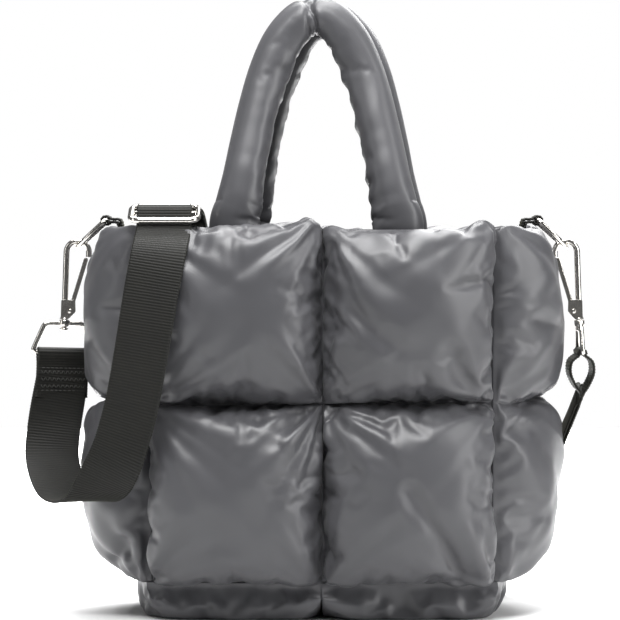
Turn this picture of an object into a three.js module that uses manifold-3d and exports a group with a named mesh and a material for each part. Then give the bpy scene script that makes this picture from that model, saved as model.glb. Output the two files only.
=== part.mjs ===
// Quilted puffer tote bag with two stuffed handles and a webbing shoulder strap on snap hooks.
// Millimetres, +Z up, the front faces -Y. The origin is the bottom centre of the whole bag's box.
import * as THREE from 'three';
import { mergeVertices } from 'three/addons/utils/BufferGeometryUtils.js';
import Module from 'manifold-3d';

const wasm = await Module();
wasm.setup();

// Clearances
const seat = 0.3; // between pieces that touch
const running = 0.3; // round a pin or stud that turns

// Padded walls
const panelWidth = 236; // front wall between its side seams
const panelHeight = 249; // front wall between its base seam and its top edge
const bodyDepth = 120; // front seam line to back seam line
const seamThickness = 4; // a wall where it is sewn flat
const frontLoft = 32; // how far a front pillow stands out
const sideLoft = 17;
const insideLoft = 10; // how far a pillow stands into the bag
const frontBow = 8; // how far the middle of the front bows out
const sideBow = 28; // how far the middle of a gusset bows out
const baseLoft = 32; // a base pillow before the bag's weight flattens it
const baseRise = 24; // middle of the base wall above the ground
const baseBulge = 12; // how far the base pillows stand out past their front and back seams
const basePinch = 0.7; // share of the gusset's bow that the base seam takes away
const pinchPower = 6; // how close to the base seam that pinch stays
const bulgePower = 5; // how close to the seams the base pillows' bulge stays
const pillowSquareness = 2.5;
const pillowSteepness = 0.4;

// Handles
const handleSpan = 114; // between the middles of one handle's legs
const handleRise = 146; // top edge of the bag to the middle of the tube at its peak
const handleDiameter = 33;
const handleTuck = 30; // length sewn down inside the wall
const handleShift = 3; // the back handle stands this much to the right
const handleLean = -4; // both handles stand this much to the left of the middle seam
const handleEnd = { across: 1.2, through: 0.44 }; // the sewn end, as shares of the diameter

// Webbing
const webbingWidth = 38;
const webbingThickness = 1.6;
const layerGap = 0.5; // between two layers of webbing that lie together
const foldLength = 32; // end of the strap that is folded back and sewn
const tabWidth = 22;
const tabTuck = 17; // length of a ring tab sewn down inside the wall

// Metal fittings
const bagRingWire = 3.6;
const bagRingLength = 28;
const bagRingSlope = THREE.MathUtils.degToRad(43);
const hookWire = 4.2;
const hookArch = 16; // between the middles of the hook's bar and nose
const hookHeight = 42; // lever's pin to the middle of the arch
const hookNose = 3; // length of the nose below the arch
const leverThickness = 2.6;
const leverWidth = 3;
const leverPin = 2;
const cheekThickness = 1.4;
const studDiameter = 3.4;
const studHead = 6;
const eyeHeight = 5;
const eyeWall = 1.6;
const strapRingWire = 3.4;
const strapRingHeight = 21;
const strapRingTop = 28;
const sliderLength = 28;
const sliderWire = 4.4;
const sliderBar = 3.4;
const sliderTilt = THREE.MathUtils.degToRad(20);
const sliderPlace = { x: -0.925, y: -1.08, above: 7 }; // shares of half the width and half the depth, and millimetres
const claspTilt = THREE.MathUtils.degToRad(2);
const leftRingTurn = THREE.MathUtils.degToRad(18); // the left strap ring turned on its stud

// Fineness of the faceted surfaces
const frontSteps = 10;
const plainSteps = 8;
const tubeSides = 12;
const wireSides = 8;

// Folds and dents of the padded walls. Places are shares of the wall's width and height,
// deep is a share of the pillow's loft and wide a share of the pillow's width.
const frontFolds = [
  { fromU: 0.49, fromV: 0.84, toU: 0.72, toV: 0.67, deep: 0.13, wide: 0.10 },
  { fromU: 0.86, fromV: 0.64, toU: 0.94, toV: 0.51, deep: 0.30, wide: 0.08 },
  { fromU: 0.91, fromV: 0.82, toU: 0.98, toV: 0.60, deep: 0.16, wide: 0.07 },
  { fromU: 0.62, fromV: 1.00, toU: 0.66, toV: 0.90, deep: 0.22, wide: 0.12 },
  { fromU: 0.03, fromV: 0.52, toU: 0.16, toV: 0.64, deep: 0.18, wide: 0.08 },
  { fromU: 0.83, fromV: 0.18, toU: 0.92, toV: 0.01, deep: 0.20, wide: 0.08 },
  { fromU: 0.43, fromV: 0.49, toU: 0.37, toV: 0.38, deep: 0.22, wide: 0.08 },
  { fromU: 0.53, fromV: 0.46, toU: 0.66, toV: 0.36, deep: 0.15, wide: 0.08 },
  { fromU: 0.10, fromV: 0.88, toU: 0.11, toV: 1.00, deep: 0.18, wide: 0.20 },
];
const backFolds = [
  { fromU: 0.08, fromV: 0.55, toU: 0.20, toV: 0.68, deep: 0.20, wide: 0.10 },
  { fromU: 0.92, fromV: 0.42, toU: 0.78, toV: 0.30, deep: 0.20, wide: 0.10 },
];
const tabDent = { fromU: 0.50, fromV: 0.84, toU: 0.50, toV: 1.00, deep: 0.90, wide: 0.20 };
const ringDent = { fromU: 0.50, fromV: 0.60, toU: 0.50, toV: 0.67, deep: 0.40, wide: 0.17 };
const leftSideFolds = [
  tabDent,
  ringDent,
  { fromU: 0.12, fromV: 0.47, toU: 0.45, toV: 0.38, deep: 0.25, wide: 0.09 },
  { fromU: 0.10, fromV: 0.10, toU: 0.40, toV: 0.03, deep: 0.30, wide: 0.09 },
];
const rightSideFolds = [
  tabDent,
  { fromU: 0.10, fromV: 0.45, toU: 0.48, toV: 0.22, deep: 0.25, wide: 0.09 },
  { fromU: 0.18, fromV: 0.72, toU: 0.36, toV: 0.70, deep: 0.25, wide: 0.08 },
];

// One leg of a handle from its sewn end to the peak. Out is a share of half the span, up a share
// of the rise, across and through are shares of the tube's diameter, lean a share of the way from
// the seat on the wall to the meeting of the two handles.
const handleLeg = [
  { out: 1.00, up: 0.00, across: 1.22, through: 0.66, lean: 0.04 },
  { out: 0.98, up: 0.09, across: 1.14, through: 0.84, lean: 0.12 },
  { out: 0.93, up: 0.22, across: 1.03, through: 0.98, lean: 0.28 },
  { out: 0.85, up: 0.38, across: 0.99, through: 1.00, lean: 0.50 },
  { out: 0.74, up: 0.56, across: 0.98, through: 1.00, lean: 0.72 },
  { out: 0.60, up: 0.73, across: 0.98, through: 1.00, lean: 0.90 },
  { out: 0.41, up: 0.875, across: 0.94, through: 1.00, lean: 0.98 },
  { out: 0.20, up: 0.97, across: 0.88, through: 1.00, lean: 1.00 },
];
const peakAcross = 0.84; // the folded peak's thickness as a share of the tube's diameter

// Routes of the strap. X is a share of half the front wall's width, y a share of half the bag's
// depth, z a share of the top edge's height; side is the direction of the webbing's width.
const frontRoute = [
  { x: -1.620, y: -0.03, z: 0.470, side: [1, 0.05, 0] },
  { x: -1.620, y: -0.22, z: 0.385, side: [1, 0.15, 0] },
  { x: -1.530, y: -0.70, z: 0.312, side: [0.88, 0.38, 0.05] },
  { x: -1.360, y: -1.24, z: 0.310, side: [0.92, 0.25, -0.03] },
  { x: -1.215, y: -1.61, z: 0.398, side: [0.95, -0.15, -0.20] },
  { x: -1.115, y: -1.715, z: 0.530, side: [0.97, -0.22, -0.17] },
  { x: -1.050, y: -1.730, z: 0.675, side: [0.97, -0.20, -0.15] },
  { x: -0.995, y: -1.700, z: 0.820, side: [0.98, -0.15, -0.10] },
  { x: -0.950, y: -1.600, z: 0.925, side: [1, -0.08, -0.04] },
];
const backRoute = [
  { x: -0.918, y: -0.40, z: 1.038, side: [1, 0, 0] },
  { x: -0.905, y: 0.40, z: 1.036, side: [1, 0, 0] },
  { x: -0.890, y: 1.10, z: 1.024, side: [1, 0, 0] },
  { x: -0.870, y: 1.62, z: 0.970, side: [1, 0.03, 0.05] },
  { x: -0.820, y: 1.83, z: 0.850, side: [1, 0.05, 0.12] },
  { x: -0.700, y: 1.88, z: 0.690, side: [0.95, 0.10, 0.25] },
  { x: -0.480, y: 1.90, z: 0.500, side: [0.85, 0.30, 0.40] },
  { x: -0.130, y: 1.93, z: 0.310, side: [0.60, 0.65, 0.45] },
  { x: 0.300, y: 1.92, z: 0.150, side: [0.20, 0.95, 0.20] },
  { x: 0.720, y: 1.82, z: 0.075, side: [0, 1, 0] },
  { x: 1.080, y: 1.55, z: 0.105, side: [-0.10, 1, 0] },
  { x: 1.320, y: 1.08, z: 0.240, side: [-0.05, 1, 0.20] },
  { x: 1.430, y: 0.56, z: 0.390, side: [0.05, 1, 0.15] },
  { x: 1.500, y: 0.12, z: 0.535, side: [0.05, 1, 0] },
];

const finishes = {
  nylon: new THREE.MeshStandardMaterial({ color: '#6b6b6e', roughness: 0.42, metalness: 0 }),
  webbing: new THREE.MeshStandardMaterial({ color: '#2a2a28', roughness: 0.7, metalness: 0 }),
  nickel: new THREE.MeshStandardMaterial({ color: '#c9c8c4', roughness: 0.15, metalness: 1 }),
};

const bottomSeam = baseRise + seamThickness / 2 + seat;
const topEdge = bottomSeam + panelHeight;
const halfPanel = panelWidth / 2;
const halfDepth = bodyDepth / 2;
const halfSide = halfDepth + seamThickness / 2;
const gussetSeam = halfPanel + seat + seamThickness / 2;
const seamBand = seamThickness + 1;

// Builds a geometry from corner points and triangles, with the faces turned to point outwards.
function closedGeometry(points, triangles) {
  const geometry = new THREE.BufferGeometry();
  geometry.setAttribute('position', new THREE.Float32BufferAttribute(points.flatMap((p) => p.toArray()), 3));
  let volume = 0;
  for (let i = 0; i < triangles.length; i += 3) {
    const [a, b, c] = triangles.slice(i, i + 3).map((corner) => points[corner]);
    volume += a.dot(b.clone().cross(c));
  }
  geometry.setIndex(volume < 0 ? triangles.toReversed() : triangles);
  return geometry;
}

// Skins a row of rings, each a list of corner points, with flat ends or joined into a loop.
function loft(rings, joined = false) {
  const sides = rings[0].length;
  const triangles = [];
  const spans = joined ? rings.length : rings.length - 1;
  for (let i = 0; i < spans; i++) {
    const near = i * sides;
    const far = ((i + 1) % rings.length) * sides;
    for (let k = 0; k < sides; k++) {
      const next = (k + 1) % sides;
      triangles.push(near + k, far + k, far + next, near + k, far + next, near + next);
    }
  }
  if (!joined) {
    const end = (rings.length - 1) * sides;
    for (let k = 1; k < sides - 1; k++) {
      triangles.push(0, k, k + 1, end, end + k + 1, end + k);
    }
  }
  return closedGeometry(rings.flat(), triangles);
}

// Closes an outer and an inner sheet over the same grid into one padded wall.
function paddedWall(us, vs, outer, inner) {
  const across = us.length;
  const up = vs.length;
  const points = [outer, inner].flatMap((face) => vs.flatMap((v) => us.map((u) => face(u, v))));
  const inside = across * up;
  const triangles = [];
  for (let j = 0; j < up - 1; j++) {
    for (let i = 0; i < across - 1; i++) {
      const a = j * across + i;
      const b = a + 1;
      const c = a + across;
      const d = c + 1;
      triangles.push(a, b, d, a, d, c);
      triangles.push(inside + a, inside + d, inside + b, inside + a, inside + c, inside + d);
    }
  }
  const rim = [];
  for (let i = 0; i < across - 1; i++) rim.push(i);
  for (let j = 0; j < up - 1; j++) rim.push(j * across + across - 1);
  for (let i = across - 1; i > 0; i--) rim.push((up - 1) * across + i);
  for (let j = up - 1; j > 0; j--) rim.push(j * across);
  rim.forEach((a, i) => {
    const b = rim[(i + 1) % rim.length];
    triangles.push(b, a, inside + a, b, inside + a, inside + b);
  });
  return closedGeometry(points, triangles);
}

// Grid lines across a row of pillows, closer together near the seams.
function gridLines(pillows, steps) {
  return Array.from({ length: pillows * steps + 1 }, (_, i) => {
    const within = (1 - Math.cos((Math.PI * (i % steps)) / steps)) / 2;
    return (Math.floor(i / steps) + within) / pillows;
  });
}

// Height of a stuffed pillow's outside across one direction: steep at the seams, round on top.
function stuffed(share, pillows) {
  const place = Math.abs(2 * ((share * pillows) % 1) - 1);
  return Math.max(0, 1 - place ** pillowSquareness) ** pillowSteepness;
}

// Height of a pillow's inside, flat for a band along each seam.
function lined(share, pillows, length) {
  const pillow = length / pillows;
  const place = ((share * pillows) % 1) * pillow;
  const along = (place - seamBand) / (pillow - 2 * seamBand);
  return Math.sin(Math.PI * THREE.MathUtils.clamp(along, 0, 1));
}

// What the folds leave of a pillow's height at one place of a wall.
function foldShare(u, v, folds, width, height, pillowWidth) {
  const here = new THREE.Vector3(u * width, v * height, 0);
  const nearest = new THREE.Vector3();
  return folds.reduce((left, fold) => {
    const line = new THREE.Line3(
      new THREE.Vector3(fold.fromU * width, fold.fromV * height, 0),
      new THREE.Vector3(fold.toU * width, fold.toV * height, 0),
    );
    line.closestPointToPoint(here, true, nearest);
    const away = here.distanceTo(nearest) / (fold.wide * pillowWidth);
    return left * (1 - fold.deep * Math.exp(-away * away));
  }, 1);
}

// One quilted wall. place(u, v, lift) puts a point of the wall at a height above its middle sheet.
function quiltedWall({ pillows, size, loftOut, folds, steps, place }) {
  const [across, up] = pillows;
  const [width, height] = size;
  const outer = (u, v) => {
    const puff = stuffed(u, across) * stuffed(v, up) * foldShare(u, v, folds, width, height, width / across);
    return place(u, v, seamThickness / 2 + loftOut * puff);
  };
  const inner = (u, v) => {
    const puff = lined(u, across, width) * lined(v, up, height);
    return place(u, v, -seamThickness / 2 - insideLoft * puff);
  };
  return paddedWall(gridLines(across, steps), gridLines(up, steps), outer, inner);
}

function frontMiddle(x) {
  return halfDepth + frontBow * (1 - (x / halfPanel) ** 2);
}

function gussetBow(v) {
  return sideBow * (1 - basePinch * (1 - v) ** pinchPower);
}

function gussetMiddle(y, v) {
  return gussetSeam + gussetBow(v) * (1 - (y / halfSide) ** 2);
}

// The inside face of the front wall, as a distance from the middle of the bag.
function frontInside(x, z) {
  const u = x / panelWidth + 0.5;
  const v = THREE.MathUtils.clamp((z - bottomSeam) / panelHeight, 0, 1);
  const puff = lined(u, 2, panelWidth) * lined(v, 2, panelHeight);
  return frontMiddle(x) - seamThickness / 2 - insideLoft * puff;
}

function gussetInside(y, z) {
  const u = y / (2 * halfSide) + 0.5;
  const v = THREE.MathUtils.clamp((z - bottomSeam) / panelHeight, 0, 1);
  const puff = lined(u, 1, 2 * halfSide) * lined(v, 2, panelHeight);
  return gussetMiddle(y, v) - seamThickness / 2 - insideLoft * puff;
}

function frontWall(facing, folds, steps) {
  return quiltedWall({
    pillows: [2, 2],
    size: [panelWidth, panelHeight],
    loftOut: frontLoft,
    folds,
    steps,
    place: (u, v, lift) => {
      const x = (u - 0.5) * panelWidth;
      return new THREE.Vector3(x, facing * (frontMiddle(x) + lift), bottomSeam + v * panelHeight);
    },
  });
}

function gusset(facing, folds) {
  return quiltedWall({
    pillows: [1, 2],
    size: [2 * halfSide, panelHeight],
    loftOut: sideLoft,
    folds,
    steps: plainSteps,
    place: (u, v, lift) => {
      const y = (u - 0.5) * 2 * halfSide;
      return new THREE.Vector3(facing * (gussetMiddle(y, v) + lift), y, bottomSeam + v * panelHeight);
    },
  });
}

// The base follows the walls' bow and is pressed flat where it stands on the ground.
function baseWall() {
  return quiltedWall({
    pillows: [2, 1],
    size: [2 * gussetSeam, 2 * halfSide],
    loftOut: baseLoft,
    folds: [],
    steps: plainSteps,
    place: (u, v, lift) => {
      const right = 2 * u - 1;
      const back = 2 * v - 1;
      const x = right * (gussetSeam + seamThickness / 2 + gussetBow(0) * (1 - back * back));
      const drop = THREE.MathUtils.clamp((lift - seamThickness / 2) / (baseRise - seamThickness / 2), 0, 1);
      const bulge = baseBulge * Math.sin((Math.PI / 2) * drop) * back ** bulgePower;
      const y = back * (halfSide + frontBow * (1 - right * right)) + bulge;
      return new THREE.Vector3(x, y, Math.max(0, baseRise - lift));
    },
  });
}

// A stuffed tube handle: two legs that rise from the inside of the wall and fold at the peak.
function handle(facing) {
  const meeting = handleDiameter / 2 + seat / 2;
  const seatHeight = topEdge - handleTuck / 2;
  const endThrough = handleLeg[0].through * handleDiameter;
  const wallSeat = frontInside(handleSpan / 2, seatHeight) - seat - endThrough / 2;
  const section = (row, outward) => ({
    middle: new THREE.Vector3(
      (outward * row.out * handleSpan) / 2,
      THREE.MathUtils.lerp(wallSeat, meeting, row.lean),
      topEdge + row.up * handleRise,
    ),
    across: row.across * handleDiameter,
    through: row.through * handleDiameter,
  });
  const end = (outward) => {
    const through = handleEnd.through * handleDiameter;
    const depth = frontInside(handleSpan / 2, topEdge - handleTuck) - seat - through / 2;
    return {
      middle: new THREE.Vector3((outward * handleSpan) / 2, depth, topEdge - handleTuck),
      across: handleEnd.across * handleDiameter,
      through,
    };
  };
  const peak = { out: 0, up: 1, across: peakAcross, through: 1, lean: 1 };
  const stations = [
    end(-1),
    ...handleLeg.map((row) => section(row, -1)),
    section(peak, 1),
    ...handleLeg.map((row) => section(row, 1)).reverse(),
    end(1),
  ];
  const route = new THREE.CatmullRomCurve3(stations.map((station) => station.middle), false, 'catmullrom', 0.5);
  const girths = new THREE.CatmullRomCurve3(
    stations.map((station) => new THREE.Vector3(station.across, station.through, 0)),
    false, 'catmullrom', 0.5,
  );
  const steps = 2 * (stations.length - 1);
  const rings = Array.from({ length: steps + 1 }, (_, i) => {
    const middle = route.getPoint(i / steps);
    const along = route.getTangent(i / steps);
    const girth = girths.getPoint(i / steps);
    const outward = new THREE.Vector3(along.z, 0, -along.x).normalize();
    const through = new THREE.Vector3().crossVectors(along, outward).normalize();
    return Array.from({ length: tubeSides }, (_, k) => {
      const turn = (2 * Math.PI * k) / tubeSides;
      return middle.clone()
        .addScaledVector(outward, (Math.cos(turn) * girth.x) / 2)
        .addScaledVector(through, (Math.sin(turn) * girth.y) / 2);
    });
  });
  const geometry = loft(rings);
  const turned = facing < 0 ? new THREE.Matrix4().makeRotationZ(Math.PI) : new THREE.Matrix4();
  const shift = handleLean + (facing < 0 ? 0 : handleShift);
  return geometry.applyMatrix4(turned).translate(shift, 0, 0);
}

// A polygon's corners, each {x, z, radius}, as a closed outline with rounded corners.
function roundedOutline(corners, arcSteps = 4) {
  const outline = [];
  corners.forEach((corner, i) => {
    const here = new THREE.Vector2(corner.x, corner.z);
    const toward = [corners.at(i - 1), corners[(i + 1) % corners.length]].map((other) =>
      new THREE.Vector2(other.x, other.z).sub(here).normalize());
    const half = Math.acos(THREE.MathUtils.clamp(toward[0].dot(toward[1]), -1, 1)) / 2;
    const middle = toward[0].clone().add(toward[1]).normalize();
    const centre = here.clone().addScaledVector(middle, corner.radius / Math.sin(half));
    const [start, end] = toward.map((way) => here.clone().addScaledVector(way, corner.radius / Math.tan(half)).sub(centre));
    const turn = Math.atan2(start.cross(end), start.dot(end));
    for (let k = 0; k <= arcSteps; k++) {
      const point = start.clone().rotateAround(new THREE.Vector2(), (turn * k) / arcSteps).add(centre);
      if (!outline.length || point.distanceTo(outline.at(-1)) > 0.01) outline.push(point);
    }
  });
  if (outline[0].distanceTo(outline.at(-1)) < 0.01) outline.pop();
  return outline;
}

// Round wire along points of the XZ plane, open with flat ends or joined into a loop.
function wire(outline, diameter, joined) {
  const count = outline.length;
  const rings = outline.map((point, i) => {
    const before = joined ? outline.at(i - 1) : outline[Math.max(0, i - 1)];
    const after = joined ? outline[(i + 1) % count] : outline[Math.min(count - 1, i + 1)];
    const along = after.clone().sub(before).normalize();
    return Array.from({ length: wireSides }, (_, k) => {
      const turn = (2 * Math.PI * (k + 0.5)) / wireSides;
      const out = (Math.cos(turn) * diameter) / 2;
      return new THREE.Vector3(point.x - along.y * out, (Math.sin(turn) * diameter) / 2, point.y + along.x * out);
    });
  });
  return loft(rings, joined);
}

// A flat plate with an outline in the XZ plane, centred on the plane.
function plate(outline, thickness, holes = []) {
  const shape = new THREE.Shape(outline);
  shape.holes = holes;
  const geometry = new THREE.ExtrudeGeometry(shape, { depth: thickness, bevelEnabled: false, curveSegments: 8 });
  return geometry.translate(0, 0, -thickness / 2).rotateX(Math.PI / 2);
}

function circleHole(x, z, radius) {
  return new THREE.Path().absarc(x, z, radius, 0, 2 * Math.PI, true);
}

function toSolid(geometry) {
  const bare = (geometry.index ? geometry.toNonIndexed() : geometry.clone());
  bare.deleteAttribute('normal');
  bare.deleteAttribute('uv');
  const merged = mergeVertices(bare, 1e-4);
  return new wasm.Manifold(new wasm.Mesh({
    numProp: 3,
    vertProperties: new Float32Array(merged.attributes.position.array),
    triVerts: new Uint32Array(merged.index.array),
  }));
}

function toGeometry(solid) {
  const mesh = solid.getMesh();
  const geometry = new THREE.BufferGeometry();
  geometry.setAttribute('position', new THREE.BufferAttribute(mesh.vertProperties, 3));
  geometry.setIndex(new THREE.BufferAttribute(mesh.triVerts, 1));
  return geometry;
}

// Joins the first list of shapes into one solid and cuts the second list out of it.
function joinAndCut(parts, cuts = []) {
  const joined = parts.map(toSolid).reduce((whole, part) => whole.add(part));
  return toGeometry(cuts.map(toSolid).reduce((whole, cut) => whole.subtract(cut), joined));
}

function post(diameter, low, high) {
  return new THREE.CylinderGeometry(diameter / 2, diameter / 2, high - low, 12)
    .rotateX(Math.PI / 2)
    .translate(0, 0, (low + high) / 2);
}

// A ring's middle line hangs from z = 0; its straight bar lies in the tab.
function bagRing() {
  const half = (tabWidth + bagRingWire) / 2 + 2.2;
  return wire(roundedOutline([
    { x: -half, z: 0, radius: 3.5 },
    { x: half, z: 0, radius: 3.5 },
    { x: half, z: -bagRingLength, radius: half },
    { x: -half, z: -bagRingLength, radius: half },
  ]), bagRingWire, true);
}

// The snap hook's own frame: the stud's axis is z, the lever's pin is level with z = 0 and the
// lever is on the +X side.
const leverPivot = new THREE.Vector2(hookWire / 2 + leverWidth / 2 + running, 0);
const baseHigh = 8;
const baseLow = -6;
const bossRadius = leverPin / 2 + running + 1.7;
const noseEnd = new THREE.Vector2(hookArch, hookHeight - hookNose);
const leverReach = Math.hypot(noseEnd.x - hookWire / 2 - leverPivot.x, noseEnd.y - leverPivot.y) - seat;
const leverAngle = Math.atan2(noseEnd.x - leverWidth / 2 - leverPivot.x, noseEnd.y - leverPivot.y);

function hookBody() {
  const radius = hookArch / 2;
  const bend = Array.from({ length: 11 }, (_, i) => {
    const turn = (Math.PI * i) / 10;
    return new THREE.Vector2(radius + radius * Math.cos(turn), hookHeight + radius * Math.sin(turn));
  });
  const frame = wire([noseEnd, ...bend, new THREE.Vector2(0, (baseHigh + baseLow) / 2)], hookWire, false);
  const slot = leverThickness + 2 * running;
  const cheeks = plate(roundedOutline([
    { x: -hookWire / 2 - 0.4, z: baseLow, radius: 1.5 },
    { x: hookWire / 2 + 0.8, z: baseLow, radius: 1.5 },
    { x: leverPivot.x + bossRadius + 0.8, z: leverPivot.y - 0.5, radius: 2 },
    { x: leverPivot.x + bossRadius + 0.3, z: baseHigh, radius: 1.5 },
    { x: -hookWire / 2 - 0.4, z: baseHigh, radius: 1 },
  ], 3), slot + 2 * cheekThickness);
  const slotLow = leverPivot.y - bossRadius - running;
  const cutters = [
    new THREE.CylinderGeometry(bossRadius + running, bossRadius + running, slot, 20)
      .translate(leverPivot.x, 0, leverPivot.y),
    new THREE.BoxGeometry(20, slot, 20).translate(hookWire / 2 + seat + 10, 0, slotLow + 10),
  ];
  const pin = new THREE.CylinderGeometry(leverPin / 2, leverPin / 2, slot + 2 * cheekThickness + 0.8, 12)
    .translate(leverPivot.x, 0, leverPivot.y);
  const stud = post(studDiameter, -studLength(), baseLow + 1);
  const head = post(studHead, -studLength() - 2.4, -studLength());
  const base = joinAndCut([frame, cheeks], cutters);
  return joinAndCut([base, pin, stud, head]);
}

// The stud passes the strap ring's eye with clearance above and below.
function studLength() {
  return eyeHeight + 2 * running - baseLow;
}

function eyeMiddle() {
  return baseLow - running - eyeHeight / 2;
}

function hookLever() {
  const tip = leverReach;
  const half = leverWidth / 2;
  const side = Math.sqrt(tip * tip - half * half);
  const shape = new THREE.Shape();
  shape.moveTo(half, 0);
  shape.lineTo(half, side);
  shape.absarc(0, 0, tip, Math.atan2(side, half), Math.atan2(side, -half), false);
  shape.lineTo(-half, Math.sqrt(bossRadius ** 2 - half ** 2));
  shape.absarc(0, 0, bossRadius, Math.acos(-half / bossRadius), 2 * Math.PI, false);
  shape.lineTo(half, 0);
  const outline = shape.getPoints(6);
  const hole = circleHole(0, 0, leverPin / 2 + running);
  const bar = plate(outline, leverThickness, [hole]);
  return bar.rotateY(leverAngle).translate(leverPivot.x, 0, leverPivot.y);
}

// The ring that carries the strap, with the eye that the hook's stud turns in.
function strapRing() {
  const low = eyeMiddle() - strapRingHeight;
  const bottom = webbingWidth / 2 + strapRingWire / 2 + 2.2;
  const loop = wire(roundedOutline([
    { x: -strapRingTop / 2, z: eyeMiddle(), radius: 5 },
    { x: strapRingTop / 2, z: eyeMiddle(), radius: 5 },
    { x: bottom, z: low, radius: 2.2 },
    { x: -bottom, z: low, radius: 2.2 },
  ]), strapRingWire, true);
  const bore = studDiameter + 2 * running;
  const boss = post(bore + 2 * eyeWall, eyeMiddle() - eyeHeight / 2, eyeMiddle() + eyeHeight / 2);
  const drill = post(bore, eyeMiddle() - eyeHeight, eyeMiddle() + eyeHeight);
  return joinAndCut([loop, boss], [drill]);
}

// Three-bar adjuster in its own frame: X across the strap, Z along it.
function slider() {
  const half = webbingWidth / 2 + sliderWire / 2 + 2;
  const loop = wire(roundedOutline([
    { x: -half, z: -sliderLength / 2, radius: 7 },
    { x: half, z: -sliderLength / 2, radius: 7 },
    { x: half, z: sliderLength / 2, radius: 7 },
    { x: -half, z: sliderLength / 2, radius: 7 },
  ]), sliderWire, true);
  const bar = new THREE.CylinderGeometry(sliderBar / 2, sliderBar / 2, 2 * half, 12).rotateZ(Math.PI / 2);
  return joinAndCut([loop, bar]);
}

// Flat webbing along stations of {point, side}, side being the direction of its width.
function ribbon(stations) {
  const count = stations.length;
  const rings = stations.map(({ point, side }, i) => {
    const along = stations[Math.min(count - 1, i + 1)].point.clone()
      .sub(stations[Math.max(0, i - 1)].point).normalize();
    const width = side.clone().addScaledVector(along, -side.dot(along)).normalize();
    const face = new THREE.Vector3().crossVectors(along, width);
    return [[-1, -1], [1, -1], [1, 1], [-1, 1]].map(([across, through]) => point.clone()
      .addScaledVector(width, (across * webbingWidth) / 2)
      .addScaledVector(face, (through * webbingThickness) / 2));
  });
  return loft(rings);
}

// Smooth stations through a route's rows, between given first and last stations.
function routeStations(rows, first, last, perRow) {
  const knots = rows.map((row) => ({
    point: new THREE.Vector3(row.x * halfPanel, row.y * halfDepth, row.z * topEdge),
    side: new THREE.Vector3(...row.side).normalize(),
  }));
  const all = [...first, ...knots, ...last];
  const middle = new THREE.CatmullRomCurve3(all.map((knot) => knot.point), false, 'catmullrom', 0.5);
  const sides = new THREE.CatmullRomCurve3(all.map((knot) => knot.side), false, 'catmullrom', 0.5);
  const steps = perRow * (all.length - 1);
  return Array.from({ length: steps + 1 }, (_, i) => ({
    point: middle.getPoint(i / steps),
    side: sides.getPoint(i / steps).normalize(),
  }));
}

// Moves stations off the webbing's middle sheet, for the two layers that lie together.
function layer(stations, lift) {
  const count = stations.length;
  return stations.map(({ point, side }, i) => {
    const along = stations[Math.min(count - 1, i + 1)].point.clone()
      .sub(stations[Math.max(0, i - 1)].point).normalize();
    const face = new THREE.Vector3().crossVectors(along, side).normalize();
    return { point: point.clone().addScaledVector(face, lift), side };
  });
}

const wrapRadius = (bar) => bar / 2 + seat + webbingThickness / 2;
const layerLift = (webbingThickness + layerGap) / 2;

// Places a list of [along, out] points, in millimetres, in the plane of two directions.
function inPlane(origin, along, out, side, pairs) {
  return pairs.map(([a, b]) => ({
    point: origin.clone().addScaledVector(along, a).addScaledVector(out, b),
    side: side.clone(),
  }));
}

function arcPairs(radius, fromDegrees, toDegrees, steps) {
  return Array.from({ length: steps + 1 }, (_, i) => {
    const turn = THREE.MathUtils.degToRad(fromDegrees + ((toDegrees - fromDegrees) * i) / steps);
    return [radius * Math.sin(turn), radius * Math.cos(turn)];
  });
}

// Where the fittings hang
const tabThickness = 2 * webbingThickness + layerGap;
const tabEye = bagRingWire / 2 + seat;
const tabRound = tabEye + webbingThickness;
const barX = gussetSeam + gussetBow(1) + seamThickness / 2 + tabRound - 0.5;
const barZ = topEdge + seat + tabThickness / 2 + 0.2;
const ringEndX = barX + bagRingLength * Math.cos(bagRingSlope);
const ringEndZ = barZ - bagRingLength * Math.sin(bagRingSlope);
const archBearing = new THREE.Vector3(
  hookArch / 2, 0, hookHeight + hookArch / 2 - hookWire / 2 - seat - bagRingWire / 2);

function ringTab() {
  const nextLine = (gridLines(1, plainSteps)[plainSteps / 2 + 1] - 0.5) * 2 * halfSide;
  const facetInside = (z) => THREE.MathUtils.lerp(
    gussetInside(0, z), gussetInside(nextLine, z), tabWidth / 2 / nextLine);
  const insideTop = facetInside(topEdge) - 2 * seat;
  const insideLow = facetInside(topEdge - tabTuck) - 2 * seat;
  const over = topEdge + seat;
  const shape = new THREE.Shape();
  shape.moveTo(insideLow, topEdge - tabTuck);
  shape.lineTo(insideTop, topEdge - seamBand);
  shape.lineTo(insideTop, over);
  shape.lineTo(barX - tabRound, over);
  shape.absarc(barX, barZ, tabRound, Math.PI * 1.15, Math.PI * 0.75 + 2 * Math.PI, false);
  shape.lineTo(insideTop - 1, over + tabThickness);
  shape.lineTo(insideTop - tabThickness, over + tabThickness - 1.5);
  shape.lineTo(insideTop - tabThickness, topEdge - seamBand);
  shape.lineTo(insideLow - tabThickness, topEdge - tabTuck);
  return plate(shape.getPoints(8), tabWidth, [circleHole(barX, barZ, tabEye)]);
}

// Groups that carry each side's ring and hook. The right-hand ones are the left-hand ones turned
// half way round, so the lever of each hook faces the bag.
function claspGroup(facing) {
  const clasp = new THREE.Group();
  clasp.rotation.set(0, -facing * claspTilt, facing > 0 ? Math.PI : 0, 'YZX');
  clasp.updateMatrix();
  const bearing = archBearing.clone().applyMatrix4(clasp.matrix);
  clasp.position.set(facing * ringEndX, 0, ringEndZ).sub(bearing);
  clasp.updateMatrix();
  return clasp;
}

function addPiece(parent, name, geometry, finish) {
  const mesh = new THREE.Mesh(geometry, finish.clone());
  mesh.name = name;
  parent.add(mesh);
  return mesh;
}

const bag = new THREE.Group();

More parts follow.
